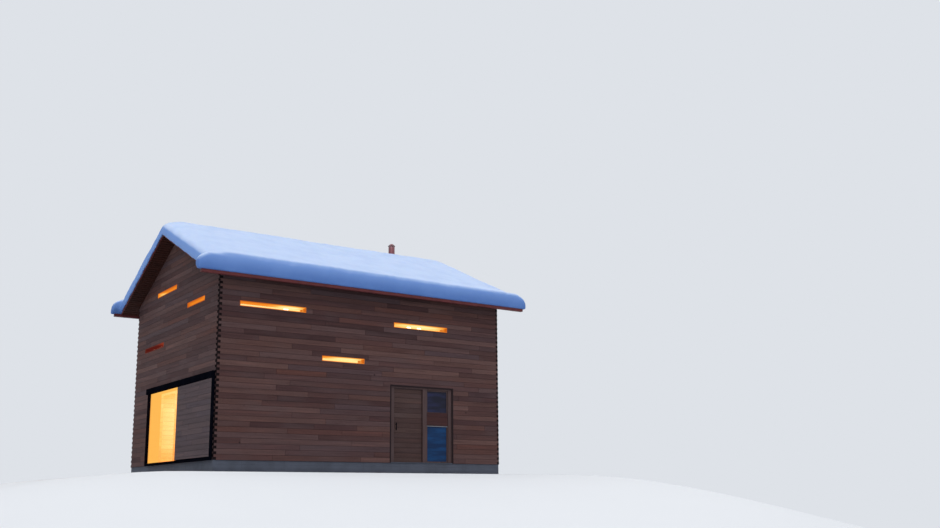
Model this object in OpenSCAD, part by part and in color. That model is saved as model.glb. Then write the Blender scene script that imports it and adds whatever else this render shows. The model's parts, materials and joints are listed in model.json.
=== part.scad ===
// Alpine chalet with two storeys, finger-jointed board cladding and a snow-laden gable roof.
// Millimetres, +Z up. The long entrance wall faces -Y and the gable with the sliding shutter
// faces -X. The origin is the middle of the foundation's underside.

/* [House] */
// Length of the house along its ridge, over the cladding
house_l = 9500; // [8600:50:11000]
// Depth of the house across its ridge, over the cladding
house_d = 7200; // [7000:50:8400]
// Thickness of the whole outer wall
wall_t = 390; // [340:10:440]
// Thickness of the outer larch cladding
clad_t = 93; // [70:1:110]
// Height of one board course
course = 150; // [140:1:160]
// Number of board courses up to the eaves
courses = 34; // [33:1:38]

/* [Base and floors] */
// Height of the concrete foundation slab
base_h = 350; // [250:10:500]
// How far the cladding stands out beyond the slab
base_inset = 25; // [10:5:60]
// Thickness of the ground floor boarding, level with the entrance sill
ground_floor_t = 20; // [15:1:24]
// Underside of the upper floor above the slab
upper_floor_z = 2550; // [2450:10:2650]
// Thickness of the upper floor
upper_floor_t = 200; // [160:10:240]

/* [Roof] */
// Slope of the roof in degrees
pitch = 25; // [22:0.5:28]
// Height of the wall plates at the long walls' outer faces
plate_h = 116; // [80:2:160]
// Width of the ridge beam
beam_w = 200; // [140:10:260]
// Height of the ridge beam
beam_h = 320; // [240:10:400]
// Width of the purlins
purlin_w = 160; // [120:10:220]
// Height of the purlins
purlin_h = 240; // [180:10:320]
// Overhang of the roof beyond the long walls
eave_out = 350; // [300:10:600]
// Overhang of the roof beyond the gable walls
verge_out = 450; // [300:10:600]
// Upright thickness of the roof deck
deck_t = 115; // [90:5:160]
// Upright thickness of the metal roof sheets
sheet_t = 8; // [5:1:12]
// Thickness of one soffit slat
slat_t = 25; // [18:1:32]
// Distance from one soffit slat to the next, measured level
slat_pitch = 100; // [90:1:130]
// Width of the open gap between two slats, measured level
slat_gap = 25; // [18:1:35]
// Thickness of the verge trims
trim_t = 30; // [20:1:40]
// How far the verge trims stand up beyond the roof sheets
trim_up = 12; // [8:1:20]
// Half width of the ridge cap
cap_half = 150; // [120:5:200]
// Thickness of the ridge cap
cap_t = 5; // [3:1:6]
// Width of the box gutters
gutter_w = 110; // [90:5:140]
// Height of the box gutters
gutter_h = 125; // [100:5:150]
// Thickness of a gutter's metal
gutter_t = 4; // [3:1:6]
// How far the gutters reach beyond the roof's verges
gutter_out = 240; // [200:10:300]
// How far the gutters hang below the soffit
gutter_drop = 70; // [40:5:90]

/* [Snow] */
// Thickness of the snow at the ridge
snow_ridge_t = 325; // [200:5:500]
// Thickness of the snow at the eaves
snow_eave_t = 375; // [250:5:600]
// How far the snow bulges out beyond the gutters and verge trims
snow_nose = 45; // [20:5:60]
// How far the snow's roll runs on past the gutters' ends
roll_out = 110; // [60:10:150]
// Size of the snow's rounded eave edge
snow_bend = 120; // [80:5:150]

/* [Flue] */
// Radius of the flue pipe
flue_r = 110; // [90:5:140]
// Place of the flue to the right of the middle of the house
flue_x = 3080; // [2000:20:3300]
// Place of the flue behind the ridge
flue_y = 420; // [400:10:700]
// Height of the flue's top above the snow at the ridge
flue_rise = 520; // [400:10:700]
// Thickness of the flue's wall
flue_t = 12; // [8:1:16]
// Height of the cowl's cone
cowl_t = 70; // [50:5:90]
// Gap between the pipe and the cowl
cowl_gap = 40; // [30:5:70]
// How far the cowl reaches beyond the pipe
cowl_out = 20; // [10:5:40]
// Radius of the cowl's top
cowl_top_r = 50; // [40:5:70]
// How far the cowl's stays go into its cone
stay_in = 5; // [3:1:8]

/* [Slot windows] */
// Thickness of the timber lining in a slot window
lining_t = 15; // [12:1:25]
// Depth of the pane behind the cladding's face
slot_pane_in = 210; // [150:10:280]
// Thickness of every glass pane
pane_t = 20; // [10:1:30]
// Left ends of the front slots, from the left corner
front_slot_x = [610, 3160, 5560];
// Lengths of the front slots
front_slot_l = [2010, 1390, 1940];
// Board courses below the front slots
front_slot_row = [28, 19, 27];
// How far the front slots sit above their course line
front_slot_up = 30; // [0:5:60]
// Near ends of the gable slots, from the front corner
gable_slot_y = [3520, 1090, 4490];
// Lengths of the gable slots
gable_slot_l = [1770, 1420, 1810];
// Board courses below the gable slots
gable_slot_row = [35, 30, 24];

/* [Sliding shutter] */
// Near edge of the shutter opening, from the front corner
slide_y = 2800; // [2750:10:2860]
// Width of the shutter opening
slide_w = 2670; // [2600:10:2700]
// How far the closed-back panel laps over the opening's near edge
panel_lap = 30; // [20:2:60]
// Height of the shutter opening above the slab, in courses
slide_rows = 15; // [14:1:16]
// How far the black steel surround stands out of the gable
surround_d = 80; // [76:2:100]
// Thickness of the surround's two posts
post_t = 40; // [24:2:50]
// How far the surround's near post stands from the house's corner
surround_in = 50; // [40:5:80]
// Gap between the opening and the far post
post_gap = 20; // [10:2:30]
// How far the rail runs on beyond the far post
rail_out = 190; // [100:10:260]
// How far the rail hangs down over the opening
rail_lap = 35; // [25:5:60]
// Height of the bottom sill
slide_sill_h = 70; // [50:5:100]
// Height of the top rail
rail_h = 175; // [150:5:200]
// Thickness of the steel walls of the rail
rail_wall = 8; // [6:1:10]
// Width of the slot along the rail's underside
rail_slot = 28; // [27:1:32]
// Thickness of the sliding panel
panel_t = 56; // [50:1:60]
// Radius of the rollers inside the rail
roller_r = 30; // [24:1:36]
// Width of a roller's tread on each side of the hanger's plate
tread_w = 14; // [12:1:16]
// Thickness of a hanger's plate
hanger_t = 16; // [12:1:20]
// Length of a hanger's plate
hanger_l = 160; // [120:5:200]
// Distance of a hanger's middle from the panel's end
hanger_in = 350; // [250:10:500]
// Width of the bars of the glazing behind the shutter
glaze_bar = 70; // [50:5:90]
// Depth of the glazing's frame
glaze_d = 60; // [50:5:80]

/* [Entrance] */
// Left edge of the entrance opening, from the left corner
entry_x = 5470; // [5300:10:5600]
// Width of the entrance opening
entry_w = 2230; // [2200:10:2300]
// Height of the entrance opening above the slab
entry_h = 2300; // [2200:10:2400]
// Width of the door leaf
leaf_w = 1000; // [900:5:1040]
// Thickness of the door leaf
leaf_t = 70; // [55:1:80]
// Width of the timber posts
post_w = 140; // [120:2:150]
// Depth of the entrance frame
frame_d = 120; // [100:5:160]
// Height of the head beam over the door
head_h = 60; // [50:5:90]
// How far the frame sits back behind the cladding's face
frame_in = 40; // [20:5:60]
// Width of the shadow gap around the frame in the cladding
shadow_gap = 25; // [15:1:35]
// Top of the sidelight's lower pane above the slab
side_low_z = 1120; // [1000:10:1200]
// Bottom of the sidelight's upper pane above the slab
side_up_z = 1560; // [1450:10:1650]
// Width of the sidelight's frame bars
side_bar = 40; // [30:1:60]
// Thickness of the sidelight's frame
side_t = 60; // [50:2:70]
// Height of the pull bars' lower ends above the slab
handle_z = 970; // [900:10:1100]
// Length of the pull bars
handle_l = 220; // [180:10:400]
// Radius of the pull bars
handle_r = 13; // [10:1:16]
// Distance of the pull bars from the leaf
handle_out = 55; // [45:1:70]
// Distance of the pull bars from the leaf's free edge
handle_in = 70; // [60:5:100]
// Radius of the handle's stand-offs
stand_r = 8; // [6:1:10]

/* [Hinges] */
// Radius of a hinge's barrel and knuckle
hinge_r = 10; // [8:1:12]
// Distance of the hinge axis from the leaf's inner face
hinge_out = 16; // [14:1:20]
// Radius of a hinge's pin
pin_r = 5; // [4:0.5:6]
// Height of a barrel and of a knuckle
barrel_h = 55; // [45:1:70]
// Width of a hinge's plate on the wood
plate_w = 50; // [35:1:60]

/* [Clearances] */
// Play between the fingers of a corner joint
finger_play = 0.5; // [0.3:0.1:1]
// How far the fingers stop short of the face
finger_in = 22; // [10:1:30]
// Running gap of the sliding panel
run_gap = 7; // [6:1:10]
// Gap under what rolls or turns on another piece
seat_gap = 0.3; // [0.2:0.05:0.5]
// Radial play of a hinge knuckle on its pin
pin_play = 0.06; // [0.04:0.01:0.1]
// Gap around the door leaf
leaf_gap = 10; // [8:1:12]

/* [Hidden] */

// The outer faces of the house, and the faces of its inner walls
x_out = house_l / 2;
y_out = house_d / 2;
x_mid = x_out - clad_t;
y_mid = y_out - clad_t;
x_in = x_out - wall_t;
y_in = y_out - wall_t;
far = 20000;

// Heights
z_wood = base_h;
z_eave = z_wood + courses * course;
rise = tan(pitch);
y_eave = y_out + eave_out;
x_verge = x_out + verge_out;
function deck_z(y) = z_eave + plate_h + (y_out - abs(y)) * rise;
function seat_z(y) = deck_z(y) - seat_gap;
function snow_z(y) = deck_z(y) + deck_t + sheet_t + seat_gap;

// Door, shutter and slot places in the house's frame
entry_x0 = entry_x - x_out;
entry_x1 = entry_x0 + entry_w;
entry_z1 = z_wood + entry_h;
slide_y0 = slide_y - y_out;
slide_y1 = slide_y0 + slide_w;
slide_z1 = z_wood + slide_rows * course;
rail_z = slide_z1 - rail_lap;
rail_y0 = -y_out + surround_in;
post_y1 = slide_y1 + post_gap + post_t;
rail_y1 = post_y1 + rail_out;
sill_z1 = z_wood + slide_sill_h;
panel_y0 = rail_y0 + post_t + run_gap;
panel_y1 = slide_y0 + panel_lap;
panel_x0 = -x_out - surround_d + (surround_d - panel_t) / 2;
panel_z0 = sill_z1 + run_gap;
panel_z1 = rail_z - run_gap;
rail_x = -x_out - surround_d / 2;

frame_y = -y_out + frame_in;
leaf_y = frame_y + frame_d - leaf_t;
leaf_x0 = entry_x0 + post_w + leaf_gap;
leaf_x1 = leaf_x0 + leaf_w;
leaf_z0 = z_wood + ground_floor_t + leaf_gap;
leaf_z1 = entry_z1 - head_h - leaf_gap;
mullion_x = leaf_x1 + leaf_gap;
side_x0 = mullion_x + post_w;
side_x1 = entry_x1 - post_w;
side_lights = [[z_wood + ground_floor_t + side_bar, z_wood + side_low_z],
    [z_wood + side_up_z, entry_z1 - head_h - side_bar]];

hinge_x = leaf_x1 + leaf_gap / 2;
hinge_y = leaf_y + leaf_t + hinge_out;
fit_gap = 1;
trim_gap = 2;
trim_top = deck_t + sheet_t + trim_up;
y_gutter = y_eave;
gutter_z = deck_z(y_eave) - slat_t - gutter_drop;
gutter_x = x_verge + gutter_out;
roll_x = gutter_x + roll_out;
snow_x = x_verge + trim_t + snow_nose;
snow_y = y_gutter + gutter_w + snow_nose;
snow_low_z = gutter_z + gutter_h + seat_gap;
snow_top_z = snow_z(0) + snow_ridge_t;
snow_crease_z = snow_z(y_eave) + snow_eave_t;
function gutter_outline(side) = [
    [side * y_gutter, gutter_z], [side * (y_gutter + gutter_w), gutter_z],
    [side * (y_gutter + gutter_w), gutter_z + gutter_h], [side * y_gutter, gutter_z + gutter_h]];

larch = [0.42, 0.30, 0.23];
lining = [0.85, 0.55, 0.30];
steel = [0.08, 0.08, 0.09];
trim_red = [0.35, 0.20, 0.18];

// Shared shapes

// An upright outline in the plane across the house, extruded along X from x0 to x1
module along_x(x0, x1, outline) {
    translate([x0, 0, 0]) rotate([90, 0, 90]) linear_extrude(x1 - x0) polygon(outline);
}

// An upright outline in the plane of a long wall, extruded towards +Y from y0 to y1
module along_y(y0, y1, outline) {
    translate([0, y1, 0]) rotate([90, 0, 0]) linear_extrude(y1 - y0) polygon(outline);
}

module block(low, high) {
    translate(low) cube(high - low);
}

// Edge of a finger-jointed corner, going up. tip and root are places across the wall, upper
// tells which half of each course the fingers fill
function comb(tip, root, upper) = [
    for (k = [0:courses - 1], step = [0:3])
        let (z = z_wood + k * course, half = course / 2, play = finger_play,
             low = upper ? [root, root, tip, tip][step] : [tip, tip, root, root][step],
             z_low = upper ? (k == 0 ? z : z - play) : (k == 0 ? z : z + play),
             z_mid = upper ? z + half + play : z + half - play,
             z_top = upper ? z + course - play : z + course + play)
        [low, [z_low, z_mid, z_mid, k == courses - 1 ? z + course : z_top][step]]
];

function backwards(list) = [for (i = [len(list) - 1:-1:0]) list[i]];
function flipped(list) = [for (p = list) [-p[0], p[1]]];

front_comb = comb(-x_out + finger_in, -x_mid, true);
gable_comb = comb(-y_out + finger_in, -y_mid, false);

// Outline of a long wall's cladding, with fingers at both ends
long_outline = concat(backwards(flipped(front_comb)), front_comb);

// Outline of a gable's cladding, with fingers at both ends and the roof's slope on top
gable_outline = concat(
    backwards(flipped(gable_comb)), gable_comb,
    [[-y_out + finger_in, z_eave + finger_play], [-y_out + finger_in, seat_z(y_out - finger_in)],
     [0, seat_z(0)],
     [y_out - finger_in, seat_z(y_out - finger_in)], [y_out - finger_in, z_eave + finger_play]]);

// Outline of a gable's inner wall
inner_gable_outline = [
    [-y_mid, z_wood], [y_mid, z_wood], [y_mid, z_eave], [y_in, z_eave], [y_in, seat_z(y_in)],
    [0, seat_z(0)], [-y_in, seat_z(y_in)], [-y_in, z_eave], [-y_mid, z_eave]];

// The slots of a long wall, side -1 for the front and 1 for the back, cut back by inset
module long_slots(side, inset = 0, y0 = 0, y1 = far) {
    for (i = [0:2]) {
        z = z_wood + front_slot_row[i] * course + front_slot_up;
        x0 = front_slot_x[i] - x_out;
        x1 = x0 + front_slot_l[i];
        low = [side < 0 ? x0 : -x1, side < 0 ? -y1 : y0, z];
        high = [side < 0 ? x1 : -x0, side < 0 ? -y0 : y1, z + course];
        block(low + [inset, 0, inset], high - [inset, 0, inset]);
    }
}

// The slots of a gable, side -1 for the left gable and 1 for the right one
module gable_slots(side, inset = 0, x0 = 0, x1 = far) {
    for (i = [0:2]) {
        z = z_wood + gable_slot_row[i] * course;
        y0 = gable_slot_y[i] - y_out;
        y1 = y0 + gable_slot_l[i];
        low = [side < 0 ? -x1 : x0, side < 0 ? y0 : -y1, z];
        high = [side < 0 ? -x0 : x1, side < 0 ? y1 : -y0, z + course];
        block(low + [0, inset, inset], high - [0, inset, inset]);
    }
}

// One long wall layer without its slots, cut to a box from low to high
module front_part(low, high) {
    intersection() {
        difference() {
            children();
            long_slots(-1);
        }
        block([low[0], -far, low[1]], [high[0], 0, high[1]]);
    }
}

// One left gable layer without its slots, cut to a box from low to high
module left_part(low, high) {
    intersection() {
        difference() {
            children();
            gable_slots(-1);
        }
        block([-far, low[0], low[1]], [0, high[0], high[1]]);
    }
}

// Base and floors

module foundation_slab() {
    color([0.55, 0.55, 0.55])
        block([-x_out + base_inset, -y_out + base_inset, 0],
              [x_out - base_inset, y_out - base_inset, base_h]);
}

module ground_floor() {
    color([0.60, 0.45, 0.30])
        block([-x_in + fit_gap, -y_in + fit_gap, z_wood],
              [x_in - fit_gap, y_in - fit_gap, z_wood + ground_floor_t]);
}

module upper_floor() {
    color([0.65, 0.50, 0.34]) difference() {
        block([-x_in, -y_in, z_wood + upper_floor_z],
              [x_in, y_in, z_wood + upper_floor_z + upper_floor_t]);
        flue_hole();
    }
}

// Walls

module front_cladding() {
    along_y(-y_out, -y_mid, long_outline);
}

module front_wall() {
    block([-x_in, -y_mid, z_wood], [x_in, -y_in, z_eave]);
}

module left_cladding() {
    along_x(-x_out, -x_mid, gable_outline);
}

module left_wall() {
    along_x(-x_mid, -x_in, inner_gable_outline);
}

module cladding_front_left() {
    color(larch) front_part([-far, 0], [entry_x0 - shadow_gap, entry_z1 + shadow_gap]) front_cladding();
}

module cladding_front_over() {
    color(larch) front_part([-far, entry_z1 + shadow_gap], [far, far]) front_cladding();
}

module cladding_front_right() {
    color(larch) front_part([entry_x1 + shadow_gap, 0], [far, entry_z1 + shadow_gap]) front_cladding();
}

module cladding_left_front() {
    color(larch) left_part([-far, 0], [slide_y0, slide_z1]) left_cladding();
}

module cladding_left_over() {
    color(larch) left_part([-far, slide_z1], [far, far]) left_cladding();
}

module cladding_left_back() {
    color(larch) left_part([slide_y1, 0], [far, slide_z1]) left_cladding();
}

module cladding_back() {
    color(larch) difference() {
        along_y(y_mid, y_out, long_outline);
        long_slots(1);
    }
}

module cladding_right() {
    color(larch) difference() {
        along_x(x_mid, x_out, gable_outline);
        gable_slots(1);
    }
}

module wall_front_left() {
    color(lining) front_part([-far, 0], [entry_x0, entry_z1]) front_wall();
}

module wall_front_over() {
    color(lining) front_part([-far, entry_z1], [far, far]) front_wall();
}

module wall_front_right() {
    color(lining) front_part([entry_x1, 0], [far, entry_z1]) front_wall();
}

module wall_left_front() {
    color(lining) left_part([-far, 0], [slide_y0, slide_z1]) left_wall();
}

module wall_left_over() {
    color(lining) left_part([-far, slide_z1], [far, far]) left_wall();
}

module wall_left_back() {
    color(lining) left_part([slide_y1, 0], [far, slide_z1]) left_wall();
}

module wall_back() {
    color(lining) difference() {
        block([-x_in, y_in, z_wood], [x_in, y_mid, z_eave]);
        long_slots(1);
    }
}

module wall_right() {
    color(lining) difference() {
        along_x(x_in, x_mid, inner_gable_outline);
        gable_slots(1);
    }
}

// Roof

// A plate over each long wall, wedge-shaped on top to carry the deck
module wall_plates() {
    color(lining) for (side = [-1, 1])
        along_x(-x_mid, x_mid, [
            [side * y_in, z_eave], [side * y_out, z_eave],
            [side * y_out, seat_z(y_out)], [side * y_in, seat_z(y_in)]]);
}

// The ridge beam and one purlin under each slope
module roof_purlins() {
    color(lining) {
        along_x(-x_in, x_in, [
            [-beam_w / 2, deck_z(0) - beam_h], [beam_w / 2, deck_z(0) - beam_h],
            [beam_w / 2, seat_z(beam_w / 2)], [0, seat_z(0)], [-beam_w / 2, seat_z(beam_w / 2)]]);
        for (side = [-1, 1]) {
            y0 = side * (y_in - purlin_w) / 2;
            y1 = y0 + side * purlin_w;
            along_x(-x_in, x_in, [
                [y0, deck_z(y1) - purlin_h], [y1, deck_z(y1) - purlin_h],
                [y1, seat_z(y1)], [y0, seat_z(y0)]]);
        }
    }
}

// One slope of the roof from the ridge to the eave, between two heights above the deck's underside
module slope(side, low, high, y0, y1, x_half) {
    along_x(-x_half, x_half, [
        [side * y0, deck_z(y0) + low], [side * y1, deck_z(y1) + low],
        [side * y1, deck_z(y1) + high], [side * y0, deck_z(y0) + high]]);
}

// Room for the flue through a floor, the roof or the snow
module flue_hole() {
    translate([flue_x, flue_y, 0]) cylinder(r = flue_r + fit_gap, h = far);
}

module roof_deck_front() {
    color([0.50, 0.36, 0.25]) slope(-1, 0, deck_t, 0, y_eave, x_verge);
}

module roof_deck_back() {
    color([0.50, 0.36, 0.25]) difference() {
        slope(1, 0, deck_t, 0, y_eave, x_verge);
        flue_hole();
    }
}

module roof_sheets() {
    color(trim_red) for (side = [-1, 1]) difference() {
        slope(side, deck_t + seat_gap, deck_t + sheet_t, fit_gap, y_eave, x_verge);
        flue_hole();
    }
}

// Slats under the overhangs, parallel to the ridge: full length outside the long walls, and
// short ones outside each gable
module soffit_slats() {
    count = floor((y_eave - slat_gap) / slat_pitch);
    color([0.38, 0.20, 0.16]) for (side = [-1, 1], i = [0:count - 1]) {
        y1 = y_eave - i * slat_pitch;
        y0 = y1 - slat_pitch + slat_gap;
        outline = [
            [side * y0, deck_z(y0) - slat_t], [side * y1, deck_z(y1) - slat_t],
            [side * y1, seat_z(y1)], [side * y0, seat_z(y0)]];
        if (y0 > y_out)
            along_x(-x_verge, x_verge, outline);
        else {
            along_x(-x_verge, -x_out - fit_gap, outline);
            along_x(x_out + fit_gap, x_verge, outline);
        }
    }
}

// Outline of the cover over a verge, from eave to eave, widened by gap
function verge_outline(gap = 0) = [
    [-y_eave, deck_z(y_eave) - slat_t], [0, deck_z(0) - slat_t], [y_eave, deck_z(y_eave) - slat_t],
    [y_eave, deck_z(y_eave) + trim_top + gap], [0, deck_z(0) + trim_top + gap],
    [-y_eave, deck_z(y_eave) + trim_top + gap]];

// A cover over each verge, and an open box gutter along each eave with closed ends
module roof_trims() {
    color(trim_red) {
        for (x = [-x_verge - trim_t, x_verge]) along_x(x, x + trim_t, verge_outline());
        for (side = [-1, 1]) difference() {
            along_x(-gutter_x, gutter_x, gutter_outline(side));
            along_x(-gutter_x + gutter_t, gutter_x - gutter_t, [
                [side * (y_gutter + gutter_t), gutter_z + gutter_t],
                [side * (y_gutter + gutter_w - gutter_t), gutter_z + gutter_t],
                [side * (y_gutter + gutter_w - gutter_t), far], [side * (y_gutter + gutter_t), far]]);
        }
    }
}

module ridge_cap() {
    low = deck_t + sheet_t + seat_gap;
    color(trim_red) along_x(-x_verge, x_verge, [
        [-cap_half, deck_z(cap_half) + low], [0, deck_z(0) + low], [cap_half, deck_z(cap_half) + low],
        [cap_half, deck_z(cap_half) + low + cap_t], [0, deck_z(0) + low + cap_t],
        [-cap_half, deck_z(cap_half) + low + cap_t]]);
}

// Snow

// Outline of one slope's settled snow, thick at the eave, with a rounded nose over the gutter
function snow_outline(side) = [
    [0, snow_z(0) + cap_t + seat_gap],
    [side * (cap_half + fit_gap), snow_z(cap_half + fit_gap) + cap_t + seat_gap],
    [side * (cap_half + fit_gap), snow_z(cap_half + fit_gap)],
    [side * y_eave, snow_z(y_eave)],
    [side * y_eave, snow_low_z],
    [side * snow_y, snow_low_z],
    [side * snow_y, snow_crease_z - 2 * snow_bend],
    [side * (snow_y - snow_bend / 3), snow_crease_z - snow_bend / 2],
    [side * (snow_y - snow_bend), snow_crease_z],
    [0, snow_top_z]];

// One slope of snow: the blanket, and the roll that runs on along the gutter
module snow(side) {
    y_roll = y_eave + trim_gap;
    color([0.93, 0.95, 0.98]) difference() {
        union() {
            along_x(-snow_x, snow_x, snow_outline(side));
            along_x(-roll_x, roll_x, [
                [side * y_roll, snow_low_z], [side * snow_y, snow_low_z],
                [side * snow_y, snow_crease_z - 2 * snow_bend],
                [side * (snow_y - snow_bend / 3), snow_crease_z - snow_bend / 2],
                [side * y_roll, snow_crease_z - snow_bend / 2]]);
        }
        flue_hole();
        for (end = [-1, 1])
            along_x(end > 0 ? x_verge - fit_gap : -snow_x - 1,
                    end > 0 ? snow_x + 1 : -x_verge + fit_gap, verge_outline(fit_gap));
    }
}

module snow_front() {
    snow(-1);
}

module snow_back() {
    snow(1);
}

// Flue, from the ground floor through the roof, with a cone-shaped cowl on four stays

module flue() {
    z0 = z_wood + ground_floor_t;
    top = snow_top_z + flue_rise;
    color(trim_red) translate([flue_x, flue_y, 0]) {
        difference() {
            translate([0, 0, z0]) cylinder(r = flue_r, h = top - z0 - cowl_gap - cowl_t);
            translate([0, 0, z0 + 2 * flue_r]) cylinder(r = flue_r - flue_t, h = far);
        }
        for (a = [45:90:359])
            rotate(a) translate([flue_r - flue_t, -flue_t, top - 2 * cowl_gap - cowl_t])
                cube([flue_t, 2 * flue_t, 2 * cowl_gap + stay_in]);
        translate([0, 0, top - cowl_t])
            cylinder(r1 = flue_r + cowl_out, r2 = cowl_top_r, h = cowl_t);
    }
}

// Slot windows

module slot_linings() {
    color(lining) {
        for (side = [-1, 1]) difference() {
            long_slots(side, 0, y_in, y_out);
            long_slots(side, lining_t, 0, far);
        }
        for (side = [-1, 1]) difference() {
            gable_slots(side, 0, x_in, x_out);
            gable_slots(side, lining_t, 0, far);
        }
    }
}

module slot_panes() {
    color([1.0, 0.75, 0.40, 0.8]) for (side = [-1, 1]) {
        long_slots(side, lining_t, y_out - slot_pane_in - pane_t, y_out - slot_pane_in);
        gable_slots(side, lining_t, x_out - slot_pane_in - pane_t, x_out - slot_pane_in);
    }
}

// Sliding shutter on the left gable

// The black steel posts and sill around the shutter's run
module slide_surround() {
    color(steel) along_x(-x_out - surround_d, -x_out, [
        [rail_y0, z_wood], [post_y1, z_wood], [post_y1, rail_z], [post_y1 - post_t, rail_z],
        [post_y1 - post_t, sill_z1], [rail_y0 + post_t, sill_z1], [rail_y0 + post_t, rail_z],
        [rail_y0, rail_z]]);
}

// The hollow rail that carries the panel
module slide_rail() {
    color(steel) difference() {
        block([-x_out - surround_d, rail_y0, rail_z], [-x_out, rail_y1, rail_z + rail_h]);
        block([-x_out - surround_d + rail_wall, rail_y0 + rail_wall, rail_z + rail_wall],
              [-x_out - rail_wall, rail_y1 - rail_wall, rail_z + rail_h - rail_wall]);
        block([rail_x - rail_slot / 2, rail_y0 + rail_wall, rail_z - 1],
              [rail_x + rail_slot / 2, rail_y1 - rail_wall, rail_z + rail_wall + 1]);
    }
}

module slide_panel() {
    color(larch) block([panel_x0, panel_y0, panel_z0], [panel_x0 + panel_t, panel_y1, panel_z1]);
}

// Two carriages, each a plate that rises through the rail's slot between two pairs of rollers
module slide_hangers() {
    axle_z = rail_z + rail_wall + seat_gap + roller_r;
    color([0.45, 0.45, 0.47]) for (y = [panel_y0 + hanger_in, panel_y1 - hanger_in]) {
        block([rail_x - hanger_t / 2, y - hanger_l / 2, panel_z1],
              [rail_x + hanger_t / 2, y + hanger_l / 2, axle_z + roller_r / 2]);
        for (dy = [-hanger_l / 4, hanger_l / 4])
            translate([rail_x - hanger_t / 2 - tread_w, y + dy, axle_z])
                rotate([0, 90, 0]) cylinder(r = roller_r, h = hanger_t + 2 * tread_w);
    }
}

// Fixed glazing set back behind the shutter

glaze_cols = 2;
glaze_step = (slide_w - glaze_bar) / glaze_cols;

module glazing_frame() {
    color(lining) difference() {
        block([-x_in - glaze_d, slide_y0, z_wood], [-x_in, slide_y1, slide_z1]);
        for (i = [0:glaze_cols - 1])
            block([-x_in - glaze_d - 1, slide_y0 + glaze_bar + i * glaze_step, z_wood + glaze_bar],
                  [-x_in + 1, slide_y0 + (i + 1) * glaze_step, slide_z1 - glaze_bar]);
    }
}

// The panes of the glazing and of the entrance's sidelight
module ground_panes() {
    color([1.0, 0.80, 0.50, 0.6]) {
        for (i = [0:glaze_cols - 1])
            block([-x_in - (glaze_d + pane_t) / 2,
                   slide_y0 + glaze_bar + i * glaze_step, z_wood + glaze_bar],
                  [-x_in - (glaze_d - pane_t) / 2,
                   slide_y0 + (i + 1) * glaze_step, slide_z1 - glaze_bar]);
        for (z = side_lights)
            block([side_x0 + side_bar, frame_y + (frame_d - pane_t) / 2, z[0]],
                  [side_x1 - side_bar, frame_y + (frame_d + pane_t) / 2, z[1]]);
    }
}

// Entrance

// Three posts under one head beam
module entrance_frame() {
    color([0.50, 0.35, 0.26]) {
        block([entry_x0, frame_y, entry_z1 - head_h], [entry_x1, frame_y + frame_d, entry_z1]);
        for (x = [entry_x0, mullion_x, entry_x1 - post_w])
            block([x, frame_y, z_wood + ground_floor_t],
                  [x + post_w, frame_y + frame_d, entry_z1 - head_h + 1]);
    }
}

module entrance_sill() {
    color([0.40, 0.40, 0.41])
        block([entry_x0, -y_out, z_wood], [entry_x1, -y_in, z_wood + ground_floor_t]);
}

module door_leaf() {
    color([0.46, 0.31, 0.22])
        block([leaf_x0, leaf_y, leaf_z0], [leaf_x1, leaf_y + leaf_t, leaf_z1]);
}

// A pull bar outside and another inside, near the leaf's free edge
module door_handle() {
    color(steel) for (side = [-1, 1]) {
        face = side < 0 ? leaf_y : leaf_y + leaf_t;
        translate([leaf_x0 + handle_in, face, z_wood + handle_z]) {
            translate([0, side * handle_out, 0]) cylinder(r = handle_r, h = handle_l);
            for (z = [handle_l / 5, handle_l * 4 / 5])
                translate([0, 0, z]) rotate([side < 0 ? 90 : -90, 0, 0])
                    cylinder(r = stand_r, h = handle_out);
        }
    }
}

// Places of the three hinges' lower ends
function hinge_z() = [for (part = [0.12, 0.5, 0.88])
    leaf_z0 + (leaf_z1 - leaf_z0) * part - barrel_h];

// Knuckles on the leaf, each turning on a pin
module door_knuckles() {
    color(steel) for (z = hinge_z()) difference() {
        union() {
            translate([hinge_x, hinge_y, z + barrel_h + seat_gap])
                cylinder(r = hinge_r, h = barrel_h - seat_gap);
            block([leaf_x1 - plate_w, leaf_y + leaf_t, z + barrel_h + seat_gap],
                  [hinge_x - pin_r - 1, hinge_y - pin_r, z + 2 * barrel_h]);
        }
        translate([hinge_x, hinge_y, z]) cylinder(r = pin_r + pin_play, h = 3 * barrel_h);
    }
}

// Barrels on the mullion's inner face, each with its pin standing on top
module door_hinges() {
    color(steel) for (z = hinge_z()) {
        translate([hinge_x, hinge_y, z]) {
            cylinder(r = hinge_r, h = barrel_h);
            cylinder(r = pin_r, h = 2 * barrel_h);
        }
        block([hinge_x + pin_r + 1, frame_y + frame_d, z],
              [mullion_x + plate_w, hinge_y - pin_r, z + barrel_h]);
    }
}

// A fixed frame beside the door, with a boarded band between its two lights
module sidelight_frame() {
    y0 = frame_y + (frame_d - side_t) / 2;
    color([0.30, 0.22, 0.18]) difference() {
        block([side_x0, y0, z_wood + ground_floor_t], [side_x1, y0 + side_t, entry_z1 - head_h]);
        for (z = side_lights)
            block([side_x0 + side_bar, y0 - 1, z[0]], [side_x1 - side_bar, y0 + side_t + 1, z[1]]);
    }
}

foundation_slab();
ground_floor();
upper_floor();
cladding_front_left();
cladding_front_over();
cladding_front_right();
cladding_left_front();
cladding_left_over();
cladding_left_back();
cladding_back();
cladding_right();
wall_front_left();
wall_front_over();
wall_front_right();
wall_left_front();
wall_left_over();
wall_left_back();
wall_back();
wall_right();
wall_plates();
roof_purlins();
roof_deck_front();
roof_deck_back();
roof_sheets();
soffit_slats();
roof_trims();
ridge_cap();
snow_front();
snow_back();
flue();
slot_linings();
slot_panes();
slide_surround();
slide_rail();
slide_panel();
slide_hangers();
glazing_frame();
ground_panes();
entrance_frame();
entrance_sill();
door_leaf();
door_handle();
door_knuckles();
door_hinges();
sidelight_frame();
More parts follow.
